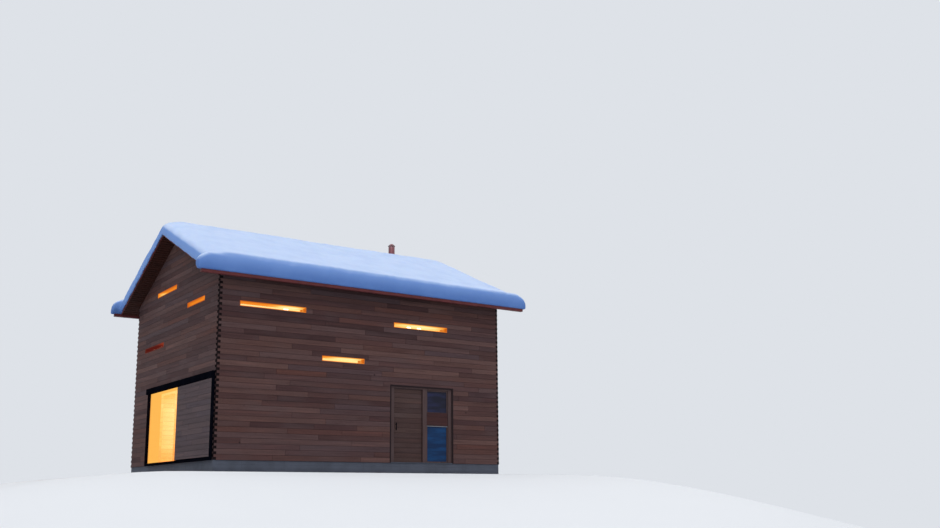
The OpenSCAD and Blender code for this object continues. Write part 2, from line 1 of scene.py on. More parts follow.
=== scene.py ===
"""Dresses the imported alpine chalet: larch boards, roof snow, lamp-lit rooms, joinery and a pale stage.

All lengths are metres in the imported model's frame: the long entrance wall faces -Y, the gable with
the sliding shutter faces -X, and Z is up from the foundation's underside.
"""

from __future__ import annotations

import functools
import json
import logging
import math
import random
from abc import ABC, abstractmethod
from dataclasses import dataclass, field
from enum import Enum
from typing import Any, Callable, Iterable, Sequence

import bmesh
import bpy
import numpy as np
from mathutils import Matrix, Vector

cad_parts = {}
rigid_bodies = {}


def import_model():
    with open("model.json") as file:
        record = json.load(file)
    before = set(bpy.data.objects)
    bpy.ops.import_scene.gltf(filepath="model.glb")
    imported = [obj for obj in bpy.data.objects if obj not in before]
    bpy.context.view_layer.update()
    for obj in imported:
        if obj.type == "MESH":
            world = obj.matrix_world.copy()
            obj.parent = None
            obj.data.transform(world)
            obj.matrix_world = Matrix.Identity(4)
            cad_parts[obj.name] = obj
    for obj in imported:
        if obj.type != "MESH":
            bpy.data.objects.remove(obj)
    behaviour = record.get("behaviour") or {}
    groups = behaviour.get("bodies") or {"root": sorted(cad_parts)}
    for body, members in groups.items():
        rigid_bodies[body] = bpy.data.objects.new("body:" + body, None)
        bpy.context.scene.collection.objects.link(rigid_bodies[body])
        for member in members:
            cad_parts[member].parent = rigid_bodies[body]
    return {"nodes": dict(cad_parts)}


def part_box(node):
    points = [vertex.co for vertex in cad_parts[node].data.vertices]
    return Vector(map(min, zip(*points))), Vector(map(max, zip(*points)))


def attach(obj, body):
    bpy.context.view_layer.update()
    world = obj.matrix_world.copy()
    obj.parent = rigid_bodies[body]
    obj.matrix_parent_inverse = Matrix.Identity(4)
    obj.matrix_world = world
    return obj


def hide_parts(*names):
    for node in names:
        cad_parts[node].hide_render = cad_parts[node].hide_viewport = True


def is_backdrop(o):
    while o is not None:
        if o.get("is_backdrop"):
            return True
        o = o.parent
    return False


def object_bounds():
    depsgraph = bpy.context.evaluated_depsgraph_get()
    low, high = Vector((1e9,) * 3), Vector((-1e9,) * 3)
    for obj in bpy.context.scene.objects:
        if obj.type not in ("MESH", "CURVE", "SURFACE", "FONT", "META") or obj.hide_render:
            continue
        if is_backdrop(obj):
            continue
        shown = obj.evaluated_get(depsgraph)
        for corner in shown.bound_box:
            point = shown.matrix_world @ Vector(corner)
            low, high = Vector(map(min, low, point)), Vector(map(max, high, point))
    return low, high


LOG = logging.getLogger("chalet")

Point = tuple[float, float, float]
Outline = list[tuple[float, float]]
Colour = tuple[float, float, float]
Stops = tuple[tuple[float, Colour], ...]


class Body(Enum):
    """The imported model's moving bodies."""

    HOUSE = "house"
    SHUTTER = "shutter"
    DOOR = "door"


def tint(red: int, green: int, blue: int) -> Colour:
    """A screen colour from 0 to 255 as the linear colour that a shader takes."""

    def linear(part: int) -> float:
        """One channel of the colour, made linear."""
        share = part / 255
        return share / 12.92 if share <= 0.04045 else ((share + 0.055) / 1.055) ** 2.4

    return linear(red), linear(green), linear(blue)


# Sizes that the pieces share


@dataclass(frozen=True)
class Rect:
    """A rectangle in a wall's own plane, from u0 to u1 along the wall and z0 to z1 up it."""

    u0: float
    u1: float
    z0: float
    z1: float

    def inset(self, along: float, up: float) -> "Rect":
        """The rectangle made smaller by these lengths at its ends and at its foot and head."""
        return Rect(self.u0 + along, self.u1 - along, self.z0 + up, self.z1 - up)

    def border(self, bar: float) -> tuple["Rect", ...]:
        """The four strips of this width along the rectangle's edges."""
        mid = self.inset(bar, bar)
        return (Rect(self.u0, self.u1, self.z0, mid.z0), Rect(self.u0, self.u1, mid.z1, self.z1),
                Rect(self.u0, mid.u0, mid.z0, mid.z1), Rect(mid.u1, self.u1, mid.z0, mid.z1))

    def flipped(self) -> "Rect":
        """The same rectangle mirrored along the wall."""
        return Rect(-self.u1, -self.u0, self.z0, self.z1)


@dataclass(frozen=True)
class House:
    """The chalet's main places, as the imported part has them."""

    x_out: float = 4.75
    y_out: float = 3.60
    clad: float = 0.093
    finger_in: float = 0.022
    wall: float = 0.39
    z_wood: float = 0.35
    course: float = 0.15
    courses: int = 34
    plate: float = 0.116
    pitch: float = math.radians(25)
    y_eave: float = 3.95
    x_verge: float = 5.20
    trim: float = 0.03
    deck: float = 0.115
    sheet: float = 0.008
    gutter_w: float = 0.11
    gutter_x: float = 5.44
    roll_x: float = 5.55
    gutter_z0: float = 5.3078
    gutter_z1: float = 5.4328
    lining: float = 0.015
    pane_in: float = 0.21
    pane: float = 0.02

    @property
    def z_eave(self) -> float:
        """Height of the long walls' top."""
        return self.z_wood + self.courses * self.course

    @property
    def x_in(self) -> float:
        """Half the length of the rooms."""
        return self.x_out - self.wall

    @property
    def y_in(self) -> float:
        """Half the depth of the rooms."""
        return self.y_out - self.wall

    def deck_z(self, y: float) -> float:
        """Height of the roof deck's underside at y."""
        return self.z_eave + self.plate + (self.y_out - abs(y)) * math.tan(self.pitch)

    def snow_z(self, y: float) -> float:
        """Height at y of the sheets that carry the snow."""
        return self.deck_z(y) + self.deck + self.sheet


HOUSE_SIZES = House()
ENTRANCE = Rect(0.72, 2.95, 0.35, 2.65)
SHADOW_GAP = 0.025
SHUTTER_OPENING = Rect(-0.80, 1.87, 0.35, 2.60)
FRONT_SLOTS = (Rect(-4.14, -2.13, 4.58, 4.73), Rect(-1.59, -0.20, 3.23, 3.38),
               Rect(0.81, 2.75, 4.43, 4.58))
GABLE_SLOTS = (Rect(-0.08, 1.69, 5.60, 5.75), Rect(-2.51, -1.09, 4.85, 5.00),
               Rect(0.89, 2.70, 3.95, 4.10))


class Face(Enum):
    """A side of the house: the axis along it, and the sign of its outward direction."""

    FRONT = ("x", -1)
    BACK = ("x", 1)
    LEFT = ("y", -1)
    RIGHT = ("y", 1)

    @property
    def along_x(self) -> bool:
        """True for the two long walls."""
        return self.value[0] == "x"

    @property
    def side(self) -> int:
        """Sign of the outward direction."""
        return self.value[1]

    @property
    def axis(self) -> Point:
        """Direction along the wall."""
        return (1.0, 0.0, 0.0) if self.along_x else (0.0, 1.0, 0.0)

    def point(self, u: float, z: float, out: float) -> Point:
        """A place on the wall.

        Args:
            u: place along the wall.
            z: height.
            out: distance of the plane from the middle of the house.

        Returns:
            The point in the house's frame.
        """
        return (u, self.side * out, z) if self.along_x else (self.side * out, u, z)

    @property
    def turned(self) -> bool:
        """True where an anticlockwise outline in u and z would face inwards."""
        return self in (Face.BACK, Face.LEFT)


SLOTS = {Face.FRONT: FRONT_SLOTS, Face.BACK: tuple(r.flipped() for r in FRONT_SLOTS),
         Face.LEFT: GABLE_SLOTS, Face.RIGHT: tuple(r.flipped() for r in GABLE_SLOTS)}


# Node trees, for materials and for patterns


@dataclass(frozen=True)
class Noise:
    """A noise pattern: its scale, detail and roughness, and its stretch along three places."""

    scale: float = 1.0
    detail: float = 3.0
    rough: float = 0.55
    stretch: Point = (1.0, 1.0, 1.0)


@dataclass(frozen=True)
class Band:
    """The values between which a pattern comes in, and the share that it comes to."""

    low: float
    high: float
    share: float = 1.0


@dataclass(frozen=True)
class Relief:
    """A bump's depth and strength, and the weight of each pattern in its height."""

    depth: float
    strength: float
    weights: tuple[float, ...] = (1.0,)


def _operator(operation: str, swapped: bool = False) -> Callable[["Wire", Any], "Wire"]:
    """Makes a method that adds one Math node.

    Args:
        operation: the node's operation.
        swapped: True where the other value comes first.

    Returns:
        The method.
    """

    def method(self: "Wire", other: Any) -> "Wire":
        """Adds the Math node and returns its output."""
        return self.maths(operation, *((other, self) if swapped else (self, other)))

    return method


class Wire:
    """One output of a node, with arithmetic that adds Math nodes."""

    def __init__(self, graph: "Graph", socket: Any) -> None:
        """Keeps the socket and the graph that it belongs to."""
        self.graph = graph
        self.socket = socket

    __add__ = __radd__ = _operator("ADD")
    __mul__ = __rmul__ = _operator("MULTIPLY")
    __sub__ = _operator("SUBTRACT")
    __rsub__ = _operator("SUBTRACT", swapped=True)
    __truediv__ = _operator("DIVIDE")
    __rtruediv__ = _operator("DIVIDE", swapped=True)
    __pow__ = _operator("POWER")
    __gt__ = _operator("GREATER_THAN")
    __lt__ = _operator("LESS_THAN")
    most = _operator("MAXIMUM")
    least = _operator("MINIMUM")

    def maths(self, operation: str, *values: Any) -> "Wire":
        """A Math node on these values."""
        return self.graph.node("ShaderNodeMath", {"operation": operation}, dict(enumerate(values)))

    def __abs__(self) -> "Wire":
        """This value without its sign."""
        return self.maths("ABSOLUTE", self)

    def fract(self) -> "Wire":
        """The part of this value after the point."""
        return self.maths("FRACT", self)

    def floor(self) -> "Wire":
        """The whole number below this value."""
        return self.maths("FLOOR", self)

    def ramp(self, low: float, high: float) -> "Wire":
        """0 below low, 1 above high, and smooth between."""
        return self.graph.node("ShaderNodeMapRange", {"interpolation_type": "SMOOTHSTEP"},
                               {0: self, 1: low, 2: high, 3: 0.0, 4: 1.0})

    def over(self, band: Band) -> "Wire":
        """0 below a band, and its share above it."""
        return self.ramp(band.low, band.high) * band.share

    def under(self, band: Band) -> "Wire":
        """The band's share below it, and 0 above it."""
        return (1.0 - self.ramp(band.low, band.high)) * band.share


class Graph:
    """A node tree with one method that makes every node."""

    def __init__(self, tree: Any) -> None:
        """Keeps the tree."""
        self.tree = tree

    def node(self, kind: str, settings: dict[str, Any] | None = None,
             inputs: dict[Any, Any] | None = None, out: Any = 0) -> Wire:
        """Makes a node.

        Args:
            kind: the node's type.
            settings: its own settings, set first; "stops" holds a ramp's (place, colour) pairs.
            inputs: values or wires by the name or number of the socket.
            out: name or number of the output to return.

        Returns:
            The output as a Wire.
        """
        made = self.tree.nodes.new(kind)
        for name, value in (settings or {}).items():
            if name == "stops":
                self._set_stops(made.color_ramp, value)
            else:
                setattr(made, name, value)
        for name, value in (inputs or {}).items():
            socket = made.inputs[name]
            for item in value if isinstance(value, list) else [value]:
                if isinstance(item, Wire):
                    self.tree.links.new(item.socket, socket)
                elif socket.type == "RGBA" and len(item) == 3:
                    socket.default_value = (*item, 1.0)
                else:
                    socket.default_value = item
        return Wire(self, made.outputs[out]) if made.outputs else Wire(self, None)

    def seen(self) -> Wire:
        """1 for a ray from the camera, a mirror or a pane, and 0 for one that carries light."""
        path = self.node("ShaderNodeLightPath").socket.node.outputs
        direct = Wire(self, path["Is Camera Ray"]).most(Wire(self, path["Is Glossy Ray"]))
        return direct.most(Wire(self, path["Is Transmission Ray"]))

    @staticmethod
    def _set_stops(ramp: Any, stops: Stops) -> None:
        """Gives a colour ramp its stops."""
        while len(ramp.elements) > 1:
            ramp.elements.remove(ramp.elements[-1])
        for index, (place, colour) in enumerate(stops):
            stop = ramp.elements[0] if index == 0 else ramp.elements.new(place)
            stop.position = place
            stop.color = (*colour, 1.0)


class Recipe(Graph):
    """One material's shader."""

    def __init__(self, name: str) -> None:
        """Starts an empty material of that name."""
        self.material = bpy.data.materials.new(name)
        self.material.use_nodes = True
        super().__init__(self.material.node_tree)
        self.tree.nodes.clear()
        self.place = self.node("ShaderNodeTexCoord", out="Object")

    def axes(self) -> tuple[Wire, Wire, Wire]:
        """X, Y and Z of the point that is shaded, in the house's frame."""
        made = self.node("ShaderNodeSeparateXYZ", None, {0: self.place})
        sockets = made.socket.node.outputs
        return Wire(self, sockets[0]), Wire(self, sockets[1]), Wire(self, sockets[2])

    def facing(self, axis: int) -> Wire:
        """X, Y or Z of the surface's direction, for axis 0, 1 or 2."""
        normal = self.node("ShaderNodeTexCoord", out="Normal")
        return self.node("ShaderNodeSeparateXYZ", None, {0: normal}, axis)

    def away(self, place: Point) -> Wire:
        """Distance of the point that is shaded from a place."""
        return self.node("ShaderNodeVectorMath", {"operation": "DISTANCE"},
                         {0: self.place, 1: place}, "Value")

    def spot(self, x: Any, y: Any, z: Any) -> Wire:
        """Three values as one vector."""
        return self.node("ShaderNodeCombineXYZ", None, {0: x, 1: y, 2: z})

    def noise(self, noise: Noise, *places: Any) -> Wire:
        """Smooth noise from 0 to 1, over the object or over three stretched places."""
        vector = self.place
        if places:
            vector = self.spot(*(place * part for place, part in zip(places, noise.stretch)))
        return self.node("ShaderNodeTexNoise", None,
                         {"Vector": vector, "Scale": noise.scale, "Detail": noise.detail,
                          "Roughness": noise.rough})

    def tones(self, value: Any, stops: Stops) -> Wire:
        """A value as a colour from a row of stops."""
        return self.node("ShaderNodeValToRGB", {"stops": stops}, {0: value})

    def blend(self, share: Any, first: Any, second: Any, kind: str = "MIX") -> Wire:
        """Two colours mixed by a share."""
        return self.node("ShaderNodeMix", {"data_type": "RGBA", "blend_type": kind},
                         {0: share, 6: first, 7: second}, 2)

    def shaded(self, share: Any, base: Any, colour: Any, factor: Colour) -> Wire:
        """A base colour mixed by a share with another colour times a factor."""
        return self.blend(share, base, self.blend(1.0, colour, factor, "MULTIPLY"))

    def attribute(self, name: str) -> Wire:
        """A number stored on the piece's own mesh."""
        return self.node("ShaderNodeAttribute", {"attribute_name": name}, None, "Fac")

    def bump(self, relief: Relief, *patterns: Wire) -> Wire:
        """A bumped direction from patterns, each with its own weight in the height."""
        height: Any = 0.0
        for pattern, weight in zip(patterns, relief.weights):
            height = pattern * weight + height
        return self.node("ShaderNodeBump", None, {
            "Height": height, "Strength": relief.strength, "Distance": relief.depth})

    def finish(self, **sockets: Any) -> bpy.types.Material:
        """Ends the recipe.

        Args:
            **sockets: the Principled shader's sockets, with _ for a space in a name.

        Returns:
            The material.
        """
        named = {name.replace("_", " "): value for name, value in sockets.items()}
        shader = self.node("ShaderNodeBsdfPrincipled", None, named)
        self.node("ShaderNodeOutputMaterial", None, {"Surface": shader})
        return self.material


class Pattern(Graph):
    """A geometry tree that repeats or thickens a shape."""

    def __init__(self, name: str, inputs: dict[str, str]) -> None:
        """Starts the tree.

        Args:
            name: the tree's name.
            inputs: socket types by the names of the inputs after Geometry.
        """
        super().__init__(bpy.data.node_groups.new(name, "GeometryNodeTree"))
        face = self.tree.interface
        face.new_socket(name="Geometry", in_out="INPUT", socket_type="NodeSocketGeometry")
        for title, kind in inputs.items():
            face.new_socket(name=title, in_out="INPUT", socket_type="NodeSocket" + kind)
        face.new_socket(name="Geometry", in_out="OUTPUT", socket_type="NodeSocketGeometry")
        self.source = self.tree.nodes.new("NodeGroupInput")

    def given(self, name: str) -> Wire:
        """An input of the tree."""
        return Wire(self, self.source.outputs[name])

    def end(self, shape: Wire) -> None:
        """Realizes the shape and hands it out."""
        real = self.node("GeometryNodeRealizeInstances", None, {0: shape})
        dressed = self.node("GeometryNodeSetMaterial", None,
                            {"Geometry": real, "Material": self.given("Material")})
        self.close(dressed)

    def close(self, shape: Wire) -> None:
        """Links the shape to the tree's output."""
        self.node("NodeGroupOutput", None, {0: shape})

    def put_on(self, piece: bpy.types.Object, **values: Any) -> None:
        """Adds the tree to a piece, with values for its inputs, _ standing for a space."""
        modifier = piece.modifiers.new(self.tree.name, "NODES")
        modifier.node_group = self.tree
        for item in self.tree.interface.items_tree:
            key = item.name.replace(" ", "_")
            if item.in_out == "INPUT" and key in values:
                modifier[item.identifier] = values[key]


@functools.cache
def plank_pattern() -> Pattern:
    """Thickens flat outlines to closed planks, with end grain and a random tone for each.

    Returns:
        The pattern, with inputs Depth, Axis, Seed, Material and End Material.
    """
    made = Pattern("planks", {"Depth": "Float", "Axis": "Vector", "Seed": "Int",
                              "Material": "Material", "End Material": "Material"})
    shape = made.given("Geometry")
    for name, step in (("tone", 0), ("shift", 7)):
        draw = made.node("FunctionNodeRandomValue", {"data_type": "FLOAT"},
                         {2: 0.0, 3: 1.0, 8: made.given("Seed") + step}, 1)
        whole = made.node("GeometryNodeFieldOnDomain", {"domain": "FACE", "data_type": "FLOAT"},
                          {0: draw})
        shape = made.node("GeometryNodeStoreNamedAttribute",
                          {"domain": "POINT", "data_type": "FLOAT"},
                          {"Geometry": shape, "Name": name, "Value": whole})
    front = made.node("GeometryNodeExtrudeMesh", {"mode": "FACES"},
                      {"Mesh": shape, "Offset Scale": made.given("Depth"), "Individual": True})
    back = made.node("GeometryNodeFlipFaces", None, {0: shape})
    joined = made.node("GeometryNodeJoinGeometry", None, {0: [front, back]})
    solid = made.node("GeometryNodeMergeByDistance", None, {"Geometry": joined, "Distance": 0.0002})
    real = made.node("GeometryNodeRealizeInstances", None, {0: solid})
    sides = made.node("GeometryNodeSetMaterial", None,
                      {"Geometry": real, "Material": made.given("Material")})
    facing = made.node("GeometryNodeInputNormal")
    along = made.node("ShaderNodeVectorMath", {"operation": "DOT_PRODUCT"},
                      {0: facing, 1: made.given("Axis")}, "Value")
    made.close(made.node("GeometryNodeSetMaterial", None,
                         {"Geometry": sides, "Selection": abs(along) > 0.7,
                          "Material": made.given("End Material")}))
    return made


@functools.cache
def row_pattern() -> Pattern:
    """Repeats a shape in a row.

    Returns:
        The pattern, with inputs Count, Step and Material.
    """
    made = Pattern("row", {"Count": "Int", "Step": "Vector", "Material": "Material"})
    line = made.node("GeometryNodeMeshLine", {"mode": "OFFSET", "count_mode": "TOTAL"},
                     {"Count": made.given("Count"), "Offset": made.given("Step")})
    made.end(made.node("GeometryNodeInstanceOnPoints", None,
                       {"Points": line, "Instance": made.given("Geometry")}))
    return made


# Finishes


class Grain(Enum):
    """The direction of the wood's fibres."""

    LEVEL = "along the wall"
    UPRIGHT = "upwards"


@dataclass(frozen=True)
class Look(ABC):
    """What a surface is made of, by the name of its material."""

    name: str

    def make(self) -> bpy.types.Material:
        """Makes the material."""
        return self.shade(Recipe(self.name))

    @abstractmethod
    def shade(self, mix: Recipe) -> bpy.types.Material:
        """Fills an empty recipe and ends it."""


@dataclass(frozen=True)
class Larch(Look):
    """Weathered larch, each board with its own tone, streaks and a few knots.

    Where a course height is given, the boards darken towards their long edges: painted shade in the
    joints between courses, over some weathering of the edges.
    """

    stops: Stops
    grain: Grain = Grain.LEVEL
    grey: Colour = tint(78, 66, 68)
    rough: float = 0.66
    streak_rough: float = 0.22
    shine: float = 0.2
    course: float = 0.0
    shift_step: float = 43.0
    streaks: Noise = Noise(1.0, 5.0, 0.65, (1.1, 60.0, 60.0))
    streak_band: Band = Band(0.35, 0.72, 0.55)
    streak_dark: Colour = (0.42, 0.38, 0.41)
    flames: Noise = Noise(1.0, 3.0, 0.6, (0.7, 13.0, 31.0))
    light_band: Band = Band(0.50, 0.72, 0.55)
    flame_light: Colour = (1.36, 1.22, 1.16)
    dark_band: Band = Band(0.30, 0.48, 0.60)
    flame_dark: Colour = (0.55, 0.50, 0.52)
    patches: Noise = Noise(1.0, 2.0, 0.5, (0.7, 1.4, 5.0))
    grey_band: Band = Band(0.45, 0.75, 0.28)
    edge_shade_band: Band = Band(0.38, 0.50, 0.45)
    edge_shade: Colour = (0.30, 0.26, 0.28)
    knot: Colour = tint(34, 22, 22)
    knot_share: float = 0.85
    knot_size: Band = Band(0.03, 0.075)
    knot_scale: float = 2.1
    knot_step: float = 9.0
    relief: Relief = Relief(0.004, 0.35, (0.7, 0.3, -0.5))

    def shade(self, mix: Recipe) -> bpy.types.Material:
        """Lays streaks, flames, grey patches, painted shade at the course edges and knots over the
        boards' tones.
        """
        x, y, z = mix.axes()
        tone, shift = mix.attribute("tone"), mix.attribute("shift")
        level = x + y
        along, across = (level, z) if self.grain is Grain.LEVEL else (z, level)
        along = along + shift * self.shift_step
        streak = mix.noise(self.streaks, along, across, x - y)
        flame = mix.noise(self.flames, along, across, shift)
        patch = mix.noise(self.patches, along, across, shift)
        board = mix.tones(tone, self.stops)
        worn = board
        for share, factor in ((streak.over(self.streak_band), self.streak_dark),
                              (flame.over(self.light_band), self.flame_light),
                              (flame.under(self.dark_band), self.flame_dark)):
            worn = mix.shaded(share, worn, board, factor)
        worn = mix.blend(patch.over(self.grey_band), worn, self.grey)
        # painted shade: each course darkens towards its long edges, as in the shadowed joints between
        # boards
        if self.course > 0:
            edge = abs(((z - HOUSE_SIZES.z_wood) / self.course).fract() - 0.5)
            worn = mix.shaded(edge.over(self.edge_shade_band), worn, board, self.edge_shade)
        cell = mix.node("ShaderNodeTexVoronoi", None, {
            "Vector": mix.spot(along, across, shift * self.knot_step), "Scale": self.knot_scale})
        outs = cell.socket.node.outputs
        chosen = mix.node("ShaderNodeSeparateColor", None, {0: Wire(mix, outs["Color"])})
        knot = Wire(mix, outs["Distance"]).under(self.knot_size) * (chosen > 0.5)
        return mix.finish(
            Base_Color=mix.blend(knot * self.knot_share, worn, self.knot),
            Roughness=self.rough + streak * self.streak_rough, Specular_IOR_Level=self.shine,
            Normal=mix.bump(self.relief, streak, flame, knot))


@dataclass(frozen=True)
class EndGrain(Look):
    """Dark sawn ends of the boards, near-black partly as painted shade in the recessed finger ends."""

    # near-black colours: partly painted shade of the recessed ends
    dark: Colour = tint(18, 12, 15)
    light: Colour = tint(36, 25, 26)
    share: float = 0.6
    relief: Relief = Relief(0.002, 0.3)

    def shade(self, mix: Recipe) -> bpy.types.Material:
        """Draws faint year rings."""
        rings = mix.node("ShaderNodeTexWave", {"wave_type": "RINGS"},
                         {"Vector": mix.place, "Scale": 22.0, "Distortion": 6.0, "Detail": 2.0})
        value = mix.node("ShaderNodeRGBToBW", None, {0: rings})
        return mix.finish(Base_Color=mix.blend(value * self.share, self.dark, self.light),
                          Roughness=0.85, Specular_IOR_Level=0.1,
                          Normal=mix.bump(self.relief, value))


LAMPLIGHT = (1.0, 0.93, 0.42)


@dataclass(frozen=True)
class Glow:
    """Lamps that light the rooms, as places and a reach."""

    lamps: tuple[Point, ...] = ((-2.3, 1.9, 5.5), (0.5, 2.7, 5.8), (2.6, 2.9, 4.3),
                                (4.1, 0.5, 5.2), (-3.0, 2.9, 1.7), (-3.4, 0.4, 2.6),
                                (1.4, 0.4, 2.6))
    reach: float = 1.5
    gain: float = 0.72
    colours: Stops = (
        (0.0, (0.16, 0.035, 0.004)), (0.35, (0.90, 0.29, 0.035)), (0.62, (1.0, 0.50, 0.11)),
        (0.85, (1.0, 0.74, 0.26)), (1.0, LAMPLIGHT))

    def share(self, mix: Recipe) -> Wire:
        """How much lamplight falls on the point, from 0 to 1."""
        total: Any = 0.0
        for lamp in self.lamps:
            total = total + 1.0 / (1.0 + (mix.away(lamp) / self.reach) ** 2.0)
        return (total * self.gain).least(1.0)


@dataclass(frozen=True)
class RoomTimber(Look):
    """Boarded rooms in painted lamplight, near-black where the timber shows outdoors as painted shade in
    the gaps behind the boards.

    The painted light is fainter on the floors and towards the rooms' edges, as painted shade.
    """

    # outside: near-black, painted shade where the timber shows through gaps and reveals
    outside: Colour
    timber: Colour = tint(190, 132, 84)
    shadow: Colour = (0.55, 0.45, 0.38)
    fibres: Noise = Noise(1.0, 4.0, 0.55, (1.2, 40.0, 40.0))
    fibre_share: float = 0.5
    tone_share: float = 0.3
    board: float = 0.15
    joint: Colour = (0.04, 0.02, 0.012)
    joint_at: float = 0.475
    joint_share: float = 0.6
    indoor_fade: float = 0.34
    levels: tuple[float, ...] = (0.37, 2.90, 3.10)
    corner: float = 0.55
    corner_dim: float = 0.30
    floor_dim: float = 0.30
    tone_dim: float = 0.10
    joint_dim: float = 0.35
    fibre_dim: float = 0.12
    relief: Relief = Relief(0.003, 0.3, (1.0, -2.0))
    glow: Glow = Glow()
    sizes: House = HOUSE_SIZES

    def _open(self, x: Wire, y: Wire, z: Wire) -> Wire:
        """1 in the middle of a floor, wall or ceiling, and less towards the rooms' edges."""
        near = abs(z - self.levels[0])
        for level in self.levels[1:]:
            near = near.least(abs(z - level))
        total = near.ramp(0.0, self.corner)
        for away in (self.sizes.x_in - abs(x), self.sizes.y_in - abs(y)):
            total = total + away.ramp(0.0, self.corner)
        return (total * 0.5).least(1.0)

    def shade(self, mix: Recipe) -> bpy.types.Material:
        """Lights the boards by the lamps, as far as they are indoors."""
        x, y, z = mix.axes()
        up = mix.facing(2)
        level = abs(up) > 0.5
        number = (level * y + (1.0 - level) * (z - self.sizes.z_wood)) / self.board
        joint = abs(number.fract() - 0.5) > self.joint_at
        tone = mix.node("ShaderNodeTexWhiteNoise", {"noise_dimensions": "1D"},
                        {"W": number.floor()})
        fibre = mix.noise(self.fibres, x + y, z, y)
        wood = mix.shaded(fibre * self.fibre_share + tone * self.tone_share,
                          self.timber, self.timber, self.shadow)
        wood = mix.blend(joint * self.joint_share, wood, self.joint)
        fade = Band(0.0, self.indoor_fade)
        indoors = (abs(x) - self.sizes.x_in).under(fade) * (abs(y) - self.sizes.y_in).under(fade)
        lit = self.glow.share(mix) * (1.0 - tone * self.tone_dim - joint * self.joint_dim
                                      - fibre * self.fibre_dim)
        lit = lit * (1.0 - self.corner_dim * (1.0 - self._open(x, y, z)))
        lit = lit * (1.0 - self.floor_dim * (up > 0.5))
        return mix.finish(
            Base_Color=mix.blend(indoors, self.outside, wood),
            Emission_Color=mix.blend(indoors, (0.0, 0.0, 0.0), mix.tones(lit, self.glow.colours)),
            Roughness=0.7, Emission_Strength=1.0, Normal=mix.bump(self.relief, fibre, joint))


@dataclass(frozen=True)
class Spot:
    """A place in the slots that lamplight falls on, with its reach and its strength."""

    place: Point
    reach: float
    gain: float


@dataclass(frozen=True)
class SlotLining(Look):
    """Smooth boards in a slot window, glowing more towards the room and the lamps."""

    spots: tuple[Spot, ...] = (
        Spot((-2.55, -3.35, 4.70), 0.42, 0.55), Spot((-0.70, -3.35, 3.34), 0.55, 0.55),
        Spot((1.45, -3.35, 4.52), 0.55, 0.40), Spot((2.20, -3.35, 4.52), 0.50, 0.45),
        Spot((-4.55, 1.62, 5.64), 0.28, 0.35), Spot((-4.65, -2.40, 4.95), 0.15, 0.20))
    colours: Stops = (
        (0.0, (0.045, 0.003, 0.004)), (0.12, (0.20, 0.020, 0.010)), (0.30, (0.62, 0.13, 0.006)),
        (0.52, (0.96, 0.29, 0.020)), (0.74, (1.0, 0.52, 0.10)), (0.90, (1.0, 0.80, 0.27)),
        (1.0, LAMPLIGHT))
    base: float = 0.50
    rim: tuple[float, float] = (-0.22, 0.18)
    jamb: float = 0.11
    fibres: Noise = Noise(1.0, 4.0, 0.55, (3.0, 70.0, 20.0))
    fibre_dim: float = 0.07
    light: Colour = tint(70, 36, 16)
    dark: Colour = tint(50, 24, 10)
    relief: Relief = Relief(0.002, 0.2)
    strength: float = 0.95
    blind_y: float = 1.55
    blind_band: Band = Band(-0.25, 0.45, 0.35)
    blind_z: float = 4.02
    blind_half: float = 0.2
    blind_dim: float = 0.93
    sizes: House = HOUSE_SIZES

    def shade(self, mix: Recipe) -> bpy.types.Material:
        """Lights the boards by their depth and the spots, and dims the slot with the blind."""
        x, y, z = mix.axes()
        deep = (self.sizes.x_out - abs(x)).least(self.sizes.y_out - abs(y)).ramp(*self.rim)
        fibre = mix.noise(self.fibres, x + y, z, y)
        near: Any = 0.0
        for spot in self.spots:
            near = near + spot.gain / (1.0 + (mix.away(spot.place) / spot.reach) ** 4.0)
        upright = abs(mix.facing(0)) > 0.5
        blind = ((1.0 - (self.blind_y - y).over(self.blind_band)) * (x < 0.0)
                 * (abs(z - self.blind_z) < self.blind_half) * (y > 0.0))
        share = deep * (self.base - fibre * self.fibre_dim + near - upright * (near + self.jamb))
        glow = mix.tones(share * (1.0 - blind * self.blind_dim), self.colours)
        return mix.finish(Base_Color=mix.blend(fibre, self.light, self.dark), Roughness=0.7,
                          Emission_Color=glow, Emission_Strength=self.strength,
                          Specular_IOR_Level=0.1, Normal=mix.bump(self.relief, fibre))


@dataclass(frozen=True)
class Snow(Look):
    """Settled snow: pale on top, with painted shade that turns it bluer where it faces sideways and
    deepest low on the eaves.
    """

    # top: a blue tint that is partly painted dusk skylight; the two colours below are painted shade
    top: Colour = tint(184, 202, 234)
    steep_shade: Colour = tint(106, 142, 202)
    deep: Colour = tint(66, 104, 168)
    level: Band = Band(0.20, 0.80)
    low_band: Band = Band(HOUSE_SIZES.gutter_z1, HOUSE_SIZES.gutter_z1 + 0.50)
    drifts: Noise = Noise(1.6, 4.0)
    drift_band: Band = Band(0.35, 0.70, 0.14)
    grains: Noise = Noise(46.0, 4.0, 0.7)
    lumps: Noise = Noise(9.0)
    rough: float = 0.62
    grain_rough: float = 0.2
    relief: Relief = Relief(0.02, 0.35, (0.6, 0.25))
    inner: float = 0.12
    inner_reach: Point = (0.02, 0.04, 0.08)

    def shade(self, mix: Recipe) -> bpy.types.Material:
        """Paints shade into the snow's colour by its slope and its height, and mottles it by its drifts.
        """
        up = mix.facing(2).over(self.level)
        low = mix.axes()[2].under(self.low_band)
        drift = mix.noise(self.drifts).over(self.drift_band)
        grain = mix.noise(self.grains)
        # painted shade by slope and height; drift patches are mottled with the same shade colour
        base = mix.blend(up, mix.blend(low, self.steep_shade, self.deep), self.top)
        return mix.finish(Base_Color=mix.blend(drift, base, self.steep_shade),
                          Roughness=self.rough + grain * self.grain_rough,
                          Subsurface_Weight=self.inner, Subsurface_Radius=self.inner_reach,
                          Normal=mix.bump(self.relief, mix.noise(self.lumps), grain))


